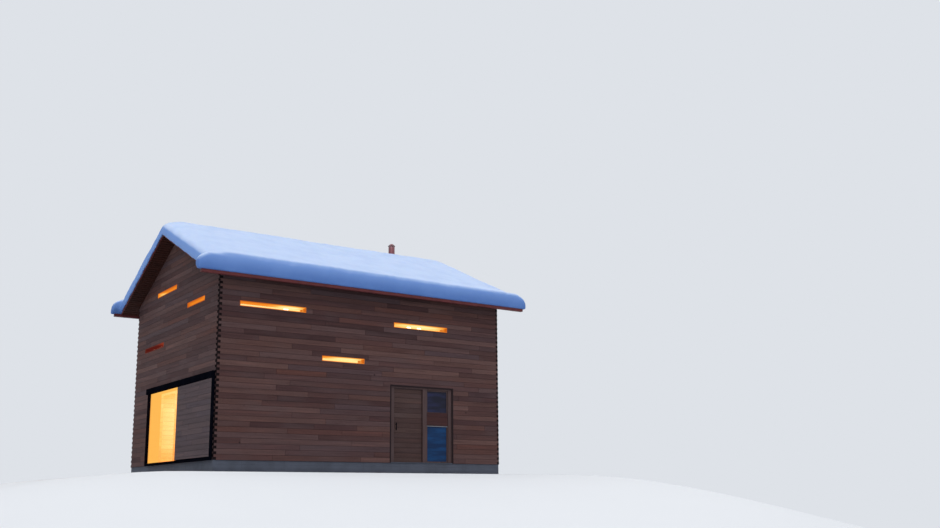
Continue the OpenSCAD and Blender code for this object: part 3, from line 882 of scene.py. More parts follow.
@dataclass(frozen=True)
class Metal(Look):
    """Painted or bare metal with faint streaks and worn patches."""

    colour: Colour
    worn: Colour
    metallic: float = 0.0
    rough: float = 0.32
    shine: float = 0.3
    clouds: Noise = Noise(3.0, 5.0, 0.6)
    worn_band: Band = Band(0.42, 0.72, 0.6)
    cloud_rough: float = 0.25
    specks: Noise = Noise(120.0, 2.0)
    relief: Relief = Relief(0.002, 0.12, (0.6, 0.4))

    def shade(self, mix: Recipe) -> bpy.types.Material:
        """Wears the paint in clouds."""
        cloud = mix.noise(self.clouds)
        return mix.finish(
            Base_Color=mix.blend(cloud.over(self.worn_band), self.colour, self.worn),
            Metallic=self.metallic, Roughness=self.rough + cloud * self.cloud_rough,
            Specular_IOR_Level=self.shine,
            Normal=mix.bump(self.relief, mix.noise(self.specks), cloud))


@dataclass(frozen=True)
class Concrete(Look):
    """Cast concrete with board marks and pores, darker towards its foot, in a dark bluish grey that is
    partly painted shade.
    """

    # colour: a dark bluish grey that is partly painted shade
    colour: Colour = tint(66, 71, 84)
    dark_tone: Colour = tint(42, 46, 58)
    clouds: Noise = Noise(2.2, 6.0, 0.62)
    cloud_band: Band = Band(0.35, 0.70, 0.45)
    pits: Noise = Noise(55.0, 3.0, 0.7)
    pit_band: Band = Band(0.62, 0.72)
    marks: float = 0.117
    mark_at: float = 0.47
    seams: float = 1.25
    seam_at: float = 0.494
    foot_band: Band = Band(0.02, 0.20, 0.55)
    dark_share: float = 0.35
    relief: Relief = Relief(0.004, 0.4, (0.4, -0.8, -1.0))

    def shade(self, mix: Recipe) -> bpy.types.Material:
        """Draws the board marks and seams over clouds, pores and a darker foot."""
        x, y, z = mix.axes()
        cloud = mix.noise(self.clouds)
        pores = mix.noise(self.pits).over(self.pit_band)
        mark = abs((z / self.marks).fract() - 0.5) > self.mark_at
        seam = abs(((x + y) / self.seams).fract() - 0.5) > self.seam_at
        lines = mark.most(seam)
        base = mix.blend(cloud.over(self.cloud_band) + z.under(self.foot_band), self.colour,
                         self.dark_tone)
        dark = (lines + pores) * self.dark_share
        return mix.finish(Base_Color=mix.blend(dark, base, self.dark_tone), Roughness=0.82,
                          Normal=mix.bump(self.relief, cloud, pores, lines))


@dataclass(frozen=True)
class Glass(Look):
    """A pane with painted reflection bands: clear with a warm tint of painted lamplight where the room
    shows through it, or opaque and dark where the room is unlit, as painted shade.
    """

    # colour: a warm tint of painted lamplight, or the painted shade and reflection of an unlit room;
    # band: colour of the painted reflection bands
    colour: Colour
    band: Colour
    alpha: float
    shine: float = 0.25
    reflection_ripples: Noise = Noise(1.0, 3.0, 0.55, (0.8, 5.0, 0.0))
    reflection_band: Band = Band(0.38, 0.66)
    rough: float = 0.08

    def shade(self, mix: Recipe) -> bpy.types.Material:
        """Paints faint level bands of reflection."""
        x, y, z = mix.axes()
        ripple = mix.noise(self.reflection_ripples, x + y, z, x)
        made = mix.finish(
            Base_Color=mix.blend(ripple.over(self.reflection_band), self.colour, self.band),
            Roughness=self.rough + ripple * self.rough, Specular_IOR_Level=self.shine,
            Alpha=self.alpha)
        made.surface_render_method = "DITHERED"
        return made


@dataclass(frozen=True)
class Lit(Look):
    """A lit surface with a slightly uneven glow."""

    colour: Colour
    strength: float
    clouds: Noise = Noise(6.0, 2.0)
    cloud_share: float = 0.3
    dim: float = 0.6

    def shade(self, mix: Recipe) -> bpy.types.Material:
        """Dims the glow in clouds."""
        dim = tuple(part * self.dim for part in self.colour)
        cloud = mix.noise(self.clouds) * self.cloud_share
        return mix.finish(Base_Color=self.colour, Roughness=0.5, Emission_Strength=self.strength,
                          Emission_Color=mix.blend(cloud, self.colour, dim))


class Finish(Enum):
    """Every finish of the chalet, by what it is used on."""

    WALL = Larch("larch_boards", (
        (0.0, tint(58, 37, 38)), (0.14, tint(75, 51, 49)), (0.28, tint(64, 42, 43)),
        (0.42, tint(82, 58, 55)), (0.56, tint(80, 50, 45)), (0.70, tint(72, 55, 58)),
        (0.84, tint(90, 65, 61)), (0.92, tint(68, 48, 50)),
        (1.0, tint(81, 56, 52))), course=HOUSE_SIZES.course)
    WALL_END = EndGrain("larch_ends")
    JOINERY = Larch("entrance_larch", ((0.0, tint(74, 58, 58)), (1.0, tint(80, 63, 63))),
                    Grain.UPRIGHT)
    LEAF = Larch("door_boards", ((0.0, tint(56, 40, 39)), (0.5, tint(66, 48, 46)),
                                 (1.0, tint(72, 54, 51))), course=HOUSE_SIZES.course)
    # shutter boards lighter and cooler than the walls: partly painted sky sheen on the smooth panel
    PANEL = Larch("shutter_boards", ((0.0, tint(72, 61, 65)), (0.35, tint(80, 66, 68)),
                                     (0.7, tint(75, 64, 70)), (1.0, tint(86, 72, 74))),
                  course=HOUSE_SIZES.course)
    # soffit slats: darkened as painted shade under the eaves, over their own dark red-brown
    SLATS = Larch("soffit_larch", ((0.0, tint(52, 20, 12)), (1.0, tint(62, 26, 16))),
                  grey=tint(38, 17, 14))
    BAND = Larch("sidelight_larch", ((0.0, tint(50, 29, 31)), (1.0, tint(64, 37, 36))),
                 grey=tint(48, 34, 38))
    # room boards: painted lamplight indoors; near-black outdoors as painted shade in the shadow gaps
    ROOMS = RoomTimber("room_boards", tint(26, 20, 20))
    # roof boards: near-black outdoors as painted shade in the gaps between the soffit slats; painted
    # lamplight indoors
    DECK = RoomTimber("roof_boards", tint(7, 4, 6), timber=tint(176, 120, 76))
    LINING = SlotLining("slot_lining")
    REVEAL = SlotLining("shutter_lining", spots=(), base=0.76, rim=(-0.9, 0.12))
    SNOW = Snow("roof_snow")
    STEEL = Metal("black_steel", tint(6, 7, 13), tint(13, 14, 22), rough=0.62, shine=0.0)
    # entrance trim: near-black partly as painted shade of the gap round the frame
    TRIM = Metal("umber_trim", tint(32, 22, 25), tint(42, 30, 32), rough=0.5, shine=0.1)
    BRIGHT = Metal("zinc_steel", tint(120, 122, 128), tint(84, 86, 92), 0.8, 0.25)
    MAROON = Metal("maroon_metal", tint(90, 40, 42), tint(62, 30, 34), 0.1, 0.4, 0.2)
    FLUE = Metal("flue_metal", tint(124, 76, 80), tint(156, 118, 126), 0.55, 0.24, 0.5)
    CONCRETE = Concrete("cast_concrete")
    # slot panes tinted as painted lamplight; the blue and grey panes are painted shade of an unlit room
    # with painted reflections
    CLEAR = Glass("clear_pane", tint(250, 214, 150), tint(250, 226, 176), 0.12)
    BLUE_PANE = Glass("blue_pane", tint(8, 36, 70), tint(13, 54, 96), 1.0, 0.12)
    GREY_PANE = Glass("grey_pane", tint(24, 25, 40), tint(36, 38, 66), 1.0, 0.12)
    LAMP = Lit("lamp_globe", (1.0, 0.93, 0.72), 2.5)
    BLIND = Lit("slot_blind", (0.12, 0.010, 0.006), 1.0)

    @property
    @functools.cache
    def material(self) -> bpy.types.Material:
        """The finish's material, made when it is first asked for."""
        return self.value.make()


# Pieces


class Workshop:
    """Turns meshes into pieces that ride on a body."""

    @staticmethod
    def piece(name: str, mesh: bpy.types.Mesh) -> bpy.types.Object:
        """An object at the origin with that mesh."""
        made = bpy.data.objects.new(name, mesh)
        bpy.context.scene.collection.objects.link(made)
        return made

    @staticmethod
    def settle(piece: bpy.types.Object) -> bpy.types.Object:
        """Applies the piece's modifiers to a plain mesh and removes them."""
        bpy.context.view_layer.update()
        graph = bpy.context.evaluated_depsgraph_get()
        mesh = bpy.data.meshes.new_from_object(piece.evaluated_get(graph),
                                               preserve_all_data_layers=True, depsgraph=graph)
        old = piece.data
        piece.modifiers.clear()
        piece.data = mesh
        mesh.name = piece.name
        bpy.data.meshes.remove(old)
        return piece

    @staticmethod
    def bevel(piece: bpy.types.Object, width: float) -> None:
        """Breaks the piece's sharp edges."""
        modifier = piece.modifiers.new("edges", "BEVEL")
        modifier.width = width
        modifier.segments = 1
        modifier.limit_method = "ANGLE"
        modifier.angle_limit = math.radians(40)

    @staticmethod
    def hand_over(piece: bpy.types.Object, slot: str, body: Body = Body.HOUSE,
                  replaced: Sequence[str] = ()) -> None:
        """Puts a finished piece on its body.

        Args:
            piece: the finished piece.
            slot: the record's material slot; not used.
            body: the body that carries it.
            replaced: CAD nodes that it stands for.
        """
        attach(piece, body.value)
        if replaced:
            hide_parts(*replaced)
        LOG.info("%s: %d faces on %s", piece.name, len(piece.data.polygons), body.value)


class Joinery:
    """Collects boxes, skins, rods and globes into one mesh."""

    def __init__(self) -> None:
        """Starts empty."""
        self.mesh = bmesh.new()

    def box(self, low: Point, high: Point) -> "Joinery":
        """Adds a box between two corners."""
        corners = [self.mesh.verts.new((x, y, z)) for x in (low[0], high[0])
                   for y in (low[1], high[1]) for z in (low[2], high[2])]
        for face in ((0, 1, 3, 2), (4, 6, 7, 5), (0, 4, 5, 1), (2, 3, 7, 6), (0, 2, 6, 4),
                     (1, 5, 7, 3)):
            self.mesh.faces.new([corners[i] for i in face])
        return self

    def skin(self, rings: Sequence[Sequence[Point]]) -> "Joinery":
        """Adds a skin over a row of rings of as many points each, closed at both ends."""
        made = [[self.mesh.verts.new(point) for point in ring] for ring in rings]
        for a, b in zip(made, made[1:]):
            for i in range(len(a)):
                j = (i + 1) % len(a)
                self.mesh.faces.new((a[i], a[j], b[j], b[i]))
        self.mesh.faces.new(made[0][::-1])
        self.mesh.faces.new(made[-1])
        return self

    def prism(self, ring: Sequence[Point], shift: Point) -> "Joinery":
        """Adds a ring of points pushed along a shift, with both ends closed."""
        return self.skin([ring, [tuple(Vector(point) + Vector(shift)) for point in ring]])

    def rod(self, start: Point, end: Point, radius: float, sides: int = 10) -> "Joinery":
        """Adds a round rod between two points."""
        line = Vector(end) - Vector(start)
        turn = line.to_track_quat("Z", "Y")
        ring = [Vector(start) + turn @ Vector((radius * math.cos(a), radius * math.sin(a), 0))
                for a in (2 * math.pi * i / sides for i in range(sides))]
        return self.prism([tuple(p) for p in ring], tuple(line))

    def globe(self, middle: Point, radius: float) -> "Joinery":
        """Adds a smooth globe."""
        verts = bmesh.ops.create_icosphere(self.mesh, subdivisions=3, radius=radius)["verts"]
        bmesh.ops.translate(self.mesh, verts=verts, vec=middle)
        for vert in verts:
            for face in vert.link_faces:
                face.smooth = True
        return self

    def done(self, name: str, finish: Finish, edge: float = 0.0) -> bpy.types.Object:
        """Makes the piece, with its edges broken by edge."""
        bmesh.ops.recalc_face_normals(self.mesh, faces=self.mesh.faces)
        mesh = bpy.data.meshes.new(name)
        self.mesh.to_mesh(mesh)
        self.mesh.free()
        mesh.materials.append(finish.material)
        piece = Workshop.piece(name, mesh)
        if edge > 0:
            Workshop.bevel(piece, edge)
            Workshop.settle(piece)
        return piece

    def deliver(self, name: str, finish: Finish, slot: str, edge: float = 0.0,
                body: Body = Body.HOUSE, replaced: Sequence[str] = ()) -> None:
        """Makes the piece and puts it on its body.

        Args:
            name: the piece's name.
            finish: its finish.
            slot: the record's material slot.
            edge: width of its broken edges.
            body: the body that carries it.
            replaced: CAD nodes that it stands for.
        """
        Workshop.hand_over(self.done(name, finish, edge), slot, body, replaced)


# Points of a board's outline that are nearer than SAME_PLACE are one, and a corner that turns
# less than STRAIGHT, as twice the area between its neighbours, is left out.
SAME_PLACE = 1e-5
STRAIGHT = 1e-9


@dataclass
class Boarding:
    """Lays random-length boards over a stretch of wall, round its openings."""

    face: Face
    out: float
    depth: float
    seed: int
    holes: list[Rect] = field(default_factory=list)
    gap: float = 0.001
    edge: float = 0.0025
    shortest: float = 1.3
    longest: float = 3.9
    first: float = 0.5
    first_most: float = 0.8
    last_least: float = 0.45
    lap: float = 0.35
    least: float = 0.006
    least_course: float = 0.03

    def __post_init__(self) -> None:
        """Starts the board lengths' own random draw."""
        self.rng = random.Random(self.seed)
        self.outlines: list[Outline] = []
        self.last: list[float] = []

    def _joints(self, u0: float, u1: float) -> list[float]:
        """Places of the joints in a course, away from those of the course below."""
        marks: list[float] = []
        u = u0 + self.rng.uniform(self.first, self.longest * self.first_most)
        while u < u1 - self.last_least:
            if all(abs(u - mark) > self.lap for mark in self.last):
                marks.append(u)
                u += self.rng.uniform(self.shortest, self.longest)
            else:
                u += self.lap / 3
        self.last = marks
        return marks

    def _run(self, u0: float, u1: float, z0: float, z1: float,
             roof: Callable[[float], float] | None, breaks: Iterable[float]) -> None:
        """Adds the outlines of one board, cut round the holes and under the roof."""
        near = [h for h in self.holes if h.u1 > u0 and h.u0 < u1 and h.z1 > z0 and h.z0 < z1]
        cuts = sorted({u0, u1, *(u for h in near for u in (h.u0, h.u1) if u0 < u < u1),
                       *(u for u in breaks if u0 < u < u1)})
        lower: Outline = []
        upper: Outline = []
        for a, b in zip(cuts, cuts[1:]):
            low, high = z0, z1
            for hole in near:
                if hole.u0 < (a + b) / 2 < hole.u1:
                    if hole.z0 <= z0 + SAME_PLACE:
                        low = max(low, hole.z1)
                    else:
                        high = min(high, hole.z0)
            ends = [min(high, roof(u)) if roof else high for u in (a, b)]
            if max(ends) - low < self.least:
                self._keep(lower, upper)
                lower, upper = [], []
                continue
            lower += [(a, low), (b, low)]
            upper += [(a, max(ends[0], low)), (b, max(ends[1], low))]
        self._keep(lower, upper)

    def _keep(self, lower: Outline, upper: Outline) -> None:
        """Stores one closed outline without its doubled and straight-through points."""
        ring = lower + upper[::-1]
        clean: Outline = []
        for point in ring:
            if not clean or math.dist(point, clean[-1]) > SAME_PLACE:
                clean.append(point)
        while len(clean) > 1 and math.dist(clean[0], clean[-1]) < SAME_PLACE:
            clean.pop()
        kept = [(u, z) for (ua, za), (u, z), (ub, zb) in
                zip(clean[-1:] + clean[:-1], clean, clean[1:] + clean[:1])
                if abs((u - ua) * (zb - z) - (z - za) * (ub - u)) > STRAIGHT]
        if len(kept) > 2:
            self.outlines.append(kept)

    def course(self, u0: float, u1: float, z0: float, z1: float,
               roof: Callable[[float], float] | None = None, breaks: Iterable[float] = ()) -> None:
        """Lays one course of boards.

        Args:
            u0: start of the course along the wall.
            u1: end of the course.
            z0: underside.
            z1: top.
            roof: height of the roof at a place along the wall, if it cuts the course.
            breaks: places where the roof's line meets the course or turns.
        """
        marks = [u0, *self._joints(u0, u1), u1]
        for i, (a, b) in enumerate(zip(marks, marks[1:])):
            start = a + (self.gap / 4 if i else 0.0)
            end = b - (self.gap / 4 if i < len(marks) - 2 else 0.0)
            self._run(start, end, z0 + self.gap, z1 - self.gap, roof, breaks)

    def fill(self, low: Vector, high: Vector, inset: float) -> None:
        """Boards a node's box, with the courses at the heights of the walls' own.

        Args:
            low: lowest corner of the box.
            high: highest corner.
            inset: distance of the boards from the box's edges.
        """
        s = HOUSE_SIZES
        u0, u1 = (low.x, high.x) if self.face.along_x else (low.y, high.y)
        for k in range(math.floor((low.z - s.z_wood) / s.course),
                       math.ceil((high.z - s.z_wood) / s.course)):
            z0 = max(s.z_wood + k * s.course, low.z + inset)
            z1 = min(s.z_wood + (k + 1) * s.course, high.z - inset)
            if z1 - z0 > self.least_course:
                self.course(u0 + inset, u1 - inset, z0, z1)

    def deliver(self, name: str, finish: Finish, slot: str, body: Body = Body.HOUSE,
                replaced: Sequence[str] = ()) -> None:
        """Makes the boards as one plain mesh and puts them on their body.

        Args:
            name: the piece's name.
            finish: finish of the boards; their ends are dark end grain.
            slot: the record's material slot.
            body: the body that carries them.
            replaced: CAD nodes that they stand for.
        """
        points: list[Point] = []
        faces: list[list[int]] = []
        for outline in self.outlines:
            ring = outline[::-1] if self.face.turned else outline
            faces.append(list(range(len(points), len(points) + len(ring))))
            points += [self.face.point(u, z, self.out - self.depth) for u, z in ring]
        mesh = bpy.data.meshes.new(name)
        mesh.from_pydata(points, [], faces)
        piece = Workshop.piece(name, mesh)
        plank_pattern().put_on(piece, Depth=self.depth, Axis=self.face.axis, Seed=self.seed,
                               Material=finish.material, End_Material=Finish.WALL_END.material)
        Workshop.bevel(piece, self.edge)
        Workshop.hand_over(Workshop.settle(piece), slot, body, replaced)


@dataclass
class Cladding:
    """The finger-jointed larch walls."""

    sizes: House = HOUSE_SIZES
    past: float = 0.001
    under_roof: float = 0.0015

    def _corner_notches(self, tip: float, root: float, upper: bool) -> list[Rect]:
        """Gaps that the other wall's fingers fill, at both ends of each course."""
        half = self.sizes.course / 2
        notches = []
        for k in range(self.sizes.courses):
            z = self.sizes.z_wood + k * self.sizes.course
            low, high = ((z - self.past, z + half) if upper
                         else (z + half, z + self.sizes.course + self.past))
            notches += [Rect(-tip, -root, low, high), Rect(root, tip, low, high)]
        return notches

    def _wall(self, face: Face, seed: int, openings: Sequence[Rect],
              replaced: Sequence[str]) -> None:
        """Boards one wall, a gable up to the roof.

        Args:
            face: the wall's side of the house.
            seed: seed of its boards' lengths and tones.
            openings: its holes.
            replaced: CAD nodes that the boards stand for.
        """
        s = self.sizes
        gable = not face.along_x
        out, half = (s.x_out, s.y_out) if gable else (s.y_out, s.x_out)
        notches = self._corner_notches(half, half - s.clad, not gable)
        laid = Boarding(face, out, s.clad, seed, [*openings, *notches])
        tip = half - s.finger_in
        count = math.ceil((s.deck_z(0) - s.z_wood) / s.course) if gable else s.courses
        for k in range(count):
            z = s.z_wood + k * s.course
            if gable:
                marks = [sign * (s.y_out - (level - s.z_eave - s.plate) / math.tan(s.pitch))
                         for level in (z, z + s.course) for sign in (-1, 1)]
                laid.course(-tip, tip, z, z + s.course,
                            lambda u: s.deck_z(u) - self.under_roof, [0.0, *marks])
            else:
                laid.course(-tip, tip, z, z + s.course)
        laid.deliver("boards_" + face.name.lower(), Finish.WALL, "larch", replaced=replaced)

    def build(self) -> None:
        """Boards all four walls."""
        entry = Rect(ENTRANCE.u0 - SHADOW_GAP, ENTRANCE.u1 + SHADOW_GAP,
                     0.0, ENTRANCE.z1 + SHADOW_GAP)
        shutter = Rect(SHUTTER_OPENING.u0, SHUTTER_OPENING.u1, 0.0, SHUTTER_OPENING.z1)
        for face, seed, openings, replaced in (
                (Face.FRONT, 11, [entry],
                 "cladding_front_left cladding_front_over cladding_front_right"),
                (Face.BACK, 23, [], "cladding_back"),
                (Face.LEFT, 37, [shutter],
                 "cladding_left_front cladding_left_over cladding_left_back"),
                (Face.RIGHT, 41, [], "cladding_right")):
            self._wall(face, seed, [*openings, *SLOTS[face]], replaced.split())


@dataclass
class RoofSnow:
    """One blanket of settled snow over both slopes, with a roll along each gutter."""

    sizes: House = HOUSE_SIZES
    ridge_t: float = 0.385
    eave_t: float = 0.415
    nose: float = 0.045
    bend: float = 0.14
    bend_power: float = 0.8
    foot: float = 0.16
    drip: float = 0.045
    lip: float = 0.02
    lap: float = 0.01
    drift: float = 0.035
    drift_mid: float = 0.6
    shoulder: tuple[int, ...] = (0, 20, 40, 60, 80)
    end_round: float = 0.68
    end_share: float = 0.36
    end_power: float = 1.7
    end_steps: int = 8
    middle_steps: int = 6
    apron: float = -0.005
    apron_top: float = 0.08
    roll_ends: tuple[tuple[float, float], ...] = ((0.0, 0.38), (0.06, 0.58), (0.16, 0.74))
    roll_share: float = 0.9
    roll_gap: float = 0.004
    roll_cheek: tuple[float, float] = (0.05, 0.12)
    roll_crown: tuple[float, float] = (0.10, 0.02)
    roll_heel: tuple[float, float] = (0.12, 0.10)
    voxel: float = 0.045
    smooth: int = 7
    kept: float = 0.5
    waves: tuple[tuple[float, float], ...] = ((2.6, 0.006), (1.1, 0.004), (0.45, 0.003),
                                              (0.22, 0.002))
    waves_each: int = 5
    steady: float = 0.75
    seed: int = 5

    @property
    def y_snow(self) -> float:
        """How far the snow reaches out over the gutters."""
        return self.sizes.y_eave + self.sizes.gutter_w + self.nose

    @property
    def low(self) -> float:
        """Height of the snow's lowest edge, a little down the gutters' faces."""
        return self.sizes.gutter_z1 - self.drip

    def _section(self, side: int, full: float, x: float) -> list[tuple[float, float]]:
        """Outline across one slope, from the ridge down to the nose.

        Args:
            side: -1 for the front slope, 1 for the back one.
            full: share of the full thickness.
            x: place along the ridge; the snow has drifted a little towards -X.

        Returns:
            Points (y, z), the top ones first.
        """
        s = self.sizes
        eave_t = self.eave_t + self.drift * (self.drift_mid - x / s.x_verge)
        crease = s.snow_z(s.y_eave) + eave_t * full
        ridge = s.snow_z(0) + self.ridge_t * full
        foot = min(self.low + self.foot, crease)
        shoulder = [(side * (self.y_snow - self.bend * (1 - math.sin(a) ** self.bend_power)),
                     foot + (crease - foot) * math.cos(a) ** self.bend_power)
                    for a in map(math.radians, self.shoulder)]
        return [(0.0, ridge), *shoulder, (side * self.y_snow, foot),
                (side * (self.y_snow - self.lip), self.low), (side * (s.y_eave + self.lap), self.low),
                (side * s.y_eave, s.snow_z(s.y_eave)), (0.0, s.snow_z(0))]

    def _blanket(self) -> list[list[Point]]:
        """Rings of the rough blanket, thinner towards the verges."""
        reach = self.sizes.x_verge + self.sizes.trim + self.nose
        inner = reach - self.end_round
        steps = [inner * i / self.middle_steps
                 for i in range(-self.middle_steps, self.middle_steps + 1)]
        for i in range(1, self.end_steps + 1):
            past = self.end_round * (i / self.end_steps)
            steps += [inner + past, -inner - past]
        rings = []
        for x in sorted(steps):
            past = min(1.0, max(0.0, (abs(x) - inner) / self.end_round))
            power = self.end_power
            full = self.end_share + (1 - self.end_share) * (1 - past ** power) ** (1 / power)
            front, back = self._section(-1, full, x), self._section(1, full, x)
            rings.append([(x, y, z) for y, z in front[::-1][:-1] + back[:-1]])
        return rings

    def _aprons(self) -> Iterable[list[list[Point]]]:
        """Rings of the snow that clings to each verge board."""
        s = self.sizes
        for side in (-1, 1):
            for y0, y1 in ((-s.y_eave, 0.0), (0.0, s.y_eave)):
                ring = [(y0, s.deck_z(y0) + self.apron), (y1, s.deck_z(y1) + self.apron),
                        (y1, s.snow_z(y1) + self.apron_top), (y0, s.snow_z(y0) + self.apron_top)]
                yield [[(side * x, y, z) for y, z in ring]
                       for x in (s.x_verge + s.trim - self.lap, s.x_verge + s.trim + self.nose)]

    def _rolls(self) -> Iterable[list[list[Point]]]:
        """Rings of the two rolls that run on past the verges along the gutters.

        Each has a rounded cheek outside, a crown behind the eave and a heel at its back.
        """
        s = self.sizes
        top = s.snow_z(s.y_eave) + self.eave_t
        half = [(s.roll_x - inset, full) for inset, full in self.roll_ends]
        half.append((s.x_verge, self.roll_share))
        (cheek_in, cheek_h), (crown_in, crown_up) = self.roll_cheek, self.roll_crown
        heel_in, heel_up = self.roll_heel
        for side in (-1, 1):
            rings = []
            for x, full in [(-x, full) for x, full in half] + half[::-1]:
                high = s.gutter_z1 + (top - s.gutter_z1) * full
                ring = [(s.y_eave + self.roll_gap, self.low), (self.y_snow, self.low),
                        (self.y_snow, high - cheek_h), (self.y_snow - cheek_in, high),
                        (s.y_eave - crown_in, high + crown_up),
                        (s.y_eave - heel_in, s.gutter_z1 + heel_up)]
                rings.append([(x, side * y, z) for y, z in ring])
            yield rings

    def _weather(self, mesh: bpy.types.Mesh) -> None:
        """Moves the top gently in and out, as wind and settling leave it."""
        count = len(mesh.vertices)
        place = np.zeros(count * 3)
        facing = np.zeros(count * 3)
        mesh.vertices.foreach_get("co", place)
        mesh.vertex_normals.foreach_get("vector", facing)
        place, facing = place.reshape(-1, 3), facing.reshape(-1, 3)
        rng = np.random.default_rng(self.seed)
        wave = np.zeros(count)
        for size, height in self.waves:
            for _ in range(self.waves_each):
                way = rng.normal(size=3)
                way /= np.linalg.norm(way)
                phase = rng.uniform(0, 2 * math.pi)
                wave += height * np.sin(place @ way * 2 * math.pi / size + phase) / 2
        free = np.clip(facing[:, 2] + self.steady, 0, 1)
        place += facing * (wave * free)[:, None]
        mesh.vertices.foreach_set("co", place.ravel())
        mesh.update()

    def build(self) -> None:
        """Makes the snow."""
        blanket = Joinery()
        for rings in (self._blanket(), *self._aprons(), *self._rolls()):
            blanket.skin(rings)
        piece = blanket.done("roof_snow", Finish.SNOW)
        remesh = piece.modifiers.new("voxels", "REMESH")
        remesh.mode = "VOXEL"
        remesh.voxel_size = self.voxel
        soften = piece.modifiers.new("soften", "SMOOTH")
        soften.iterations = self.smooth
        Workshop.settle(piece)
        self._weather(piece.data)
        thin = piece.modifiers.new("thin", "DECIMATE")
        thin.ratio = self.kept
        Workshop.settle(piece)
        piece.data.polygons.foreach_set("use_smooth", [True] * len(piece.data.polygons))
        Workshop.hand_over(piece, "snow", replaced=["snow_front", "snow_back"])


@dataclass
class ShutterPanel:
    """The boarded sliding panel in its flat steel rim."""

    rim: float = 0.012
    board_t: float = 0.026
    play: float = 0.004
    behind: float = 0.002
    inset: float = 0.001

    def build(self) -> None:
        """Makes the rim, the core and the boards."""
        low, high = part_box("slide_panel")
        face = Rect(low.y, high.y, low.z, high.z)
        ring = Joinery()
        for strip in face.border(self.rim):
            ring.box((low.x + self.behind, strip.u0, strip.z0), (high.x, strip.u1, strip.z1))
        core = face.inset(self.rim, self.rim)
        ring.box((low.x + self.board_t + self.play, core.u0, core.z0),
                 (high.x - self.play, core.u1, core.z1))
        ring.deliver("shutter_rim", Finish.STEEL, "larch", edge=0.002, body=Body.SHUTTER)
        laid = Boarding(Face.LEFT, -low.x, self.board_t, seed=53, shortest=0.9, longest=2.6)
        laid.fill(low, high, self.rim + self.inset)
        laid.deliver("shutter_boards", Finish.PANEL, "larch", Body.SHUTTER, ["slide_panel"])


@dataclass
class DoorLeaf:
    """The boarded door leaf."""

    board_t: float = 0.022
    play: float = 0.001
    inset: float = 0.004

    def build(self) -> None:
        """Makes the core and the boards on its outer face."""
        low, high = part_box("door_leaf")
        core = Joinery().box((low.x, low.y + self.board_t + self.play, low.z), tuple(high))
        core.deliver("door_core", Finish.JOINERY, "door_wood", edge=0.003, body=Body.DOOR)
        laid = Boarding(Face.FRONT, -low.y, self.board_t, seed=67, shortest=2.0)
        laid.fill(low, high, self.inset)
        laid.deliver("door_boards", Finish.LEAF, "door_wood", Body.DOOR, ["door_leaf"])


@dataclass
class Glazing:
    """Panes and slim sashes of every window."""

    sizes: House = HOUSE_SIZES
    sash: float = 0.012
    sash_t: float = 0.027
    behind: float = 0.001
    blind_slot: int = 2
    blind_in: float = 0.030
    blind_t: float = 0.004
    blind_play: tuple[float, float] = (0.02, 0.017)
    frame_bar: float = 0.07
    frame_panes: int = 2
    sidelight_in: float = 0.09
    sidelight: tuple[tuple[str, Rect, Finish], ...] = (
        ("sidelight_low", Rect(2.06, 2.77, 0.41, 1.47), Finish.BLUE_PANE),
        ("sidelight_high", Rect(2.06, 2.77, 1.91, 2.55), Finish.GREY_PANE))

    def _box(self, made: Joinery, face: Face, rect: Rect, deep0: float, deep1: float) -> None:
        """Adds a box on a wall, between two depths behind the boards' face."""
        out = self.sizes.y_out if face.along_x else self.sizes.x_out
        a = face.point(rect.u0, rect.z0, out - deep0)
        b = face.point(rect.u1, rect.z1, out - deep1)
        made.box(tuple(map(min, a, b)), tuple(map(max, a, b)))

    def _slots(self) -> None:
        """Makes the slots' panes and sashes, and the one drawn blind."""
        s = self.sizes
        panes, sashes, blind = Joinery(), Joinery(), Joinery()
        for face, hole in ((face, hole) for face, holes in SLOTS.items() for hole in holes):
            pane = hole.inset(s.lining, s.lining)
            self._box(panes, face, pane, s.pane_in, s.pane_in + s.pane)
            for strip in pane.border(self.sash):
                self._box(sashes, face, strip, s.pane_in - self.behind - self.sash_t,
                          s.pane_in - self.behind)
        panes.deliver("slot_glass", Finish.CLEAR, "lit_glass", replaced=["slot_panes"])
        sashes.deliver("slot_sashes", Finish.LINING, "lining", edge=0.0015)
        deep = s.pane_in + self.blind_in
        self._box(blind, Face.LEFT, SLOTS[Face.LEFT][self.blind_slot].inset(*self.blind_play),
                  deep, deep + self.blind_t)
        blind.deliver("slot_blind", Finish.BLIND, "lining")

    def _ground(self) -> None:
        """Makes the panes behind the shutter and beside the door."""
        half = self.sizes.pane / 2
        low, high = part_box("glazing_frame")
        clear = Joinery()
        mid = (low.x + high.x) / 2
        bar = self.frame_bar
        step = (high.y - low.y - bar) / self.frame_panes
        for i in range(self.frame_panes):
            clear.box((mid - half, low.y + bar + i * step, low.z + bar),
                      (mid + half, low.y + (i + 1) * step, high.z - bar))
        clear.deliver("shutter_glass", Finish.CLEAR, "lit_glass", replaced=["ground_panes"])
        for name, rect, finish in self.sidelight:
            pane = Joinery()
            self._box(pane, Face.FRONT, rect, self.sidelight_in,
                      self.sidelight_in + self.sizes.pane)
            pane.deliver(name, finish, "lit_glass")

    def build(self) -> None:
        """Makes all of the glazing."""
        self._slots()
        self._ground()


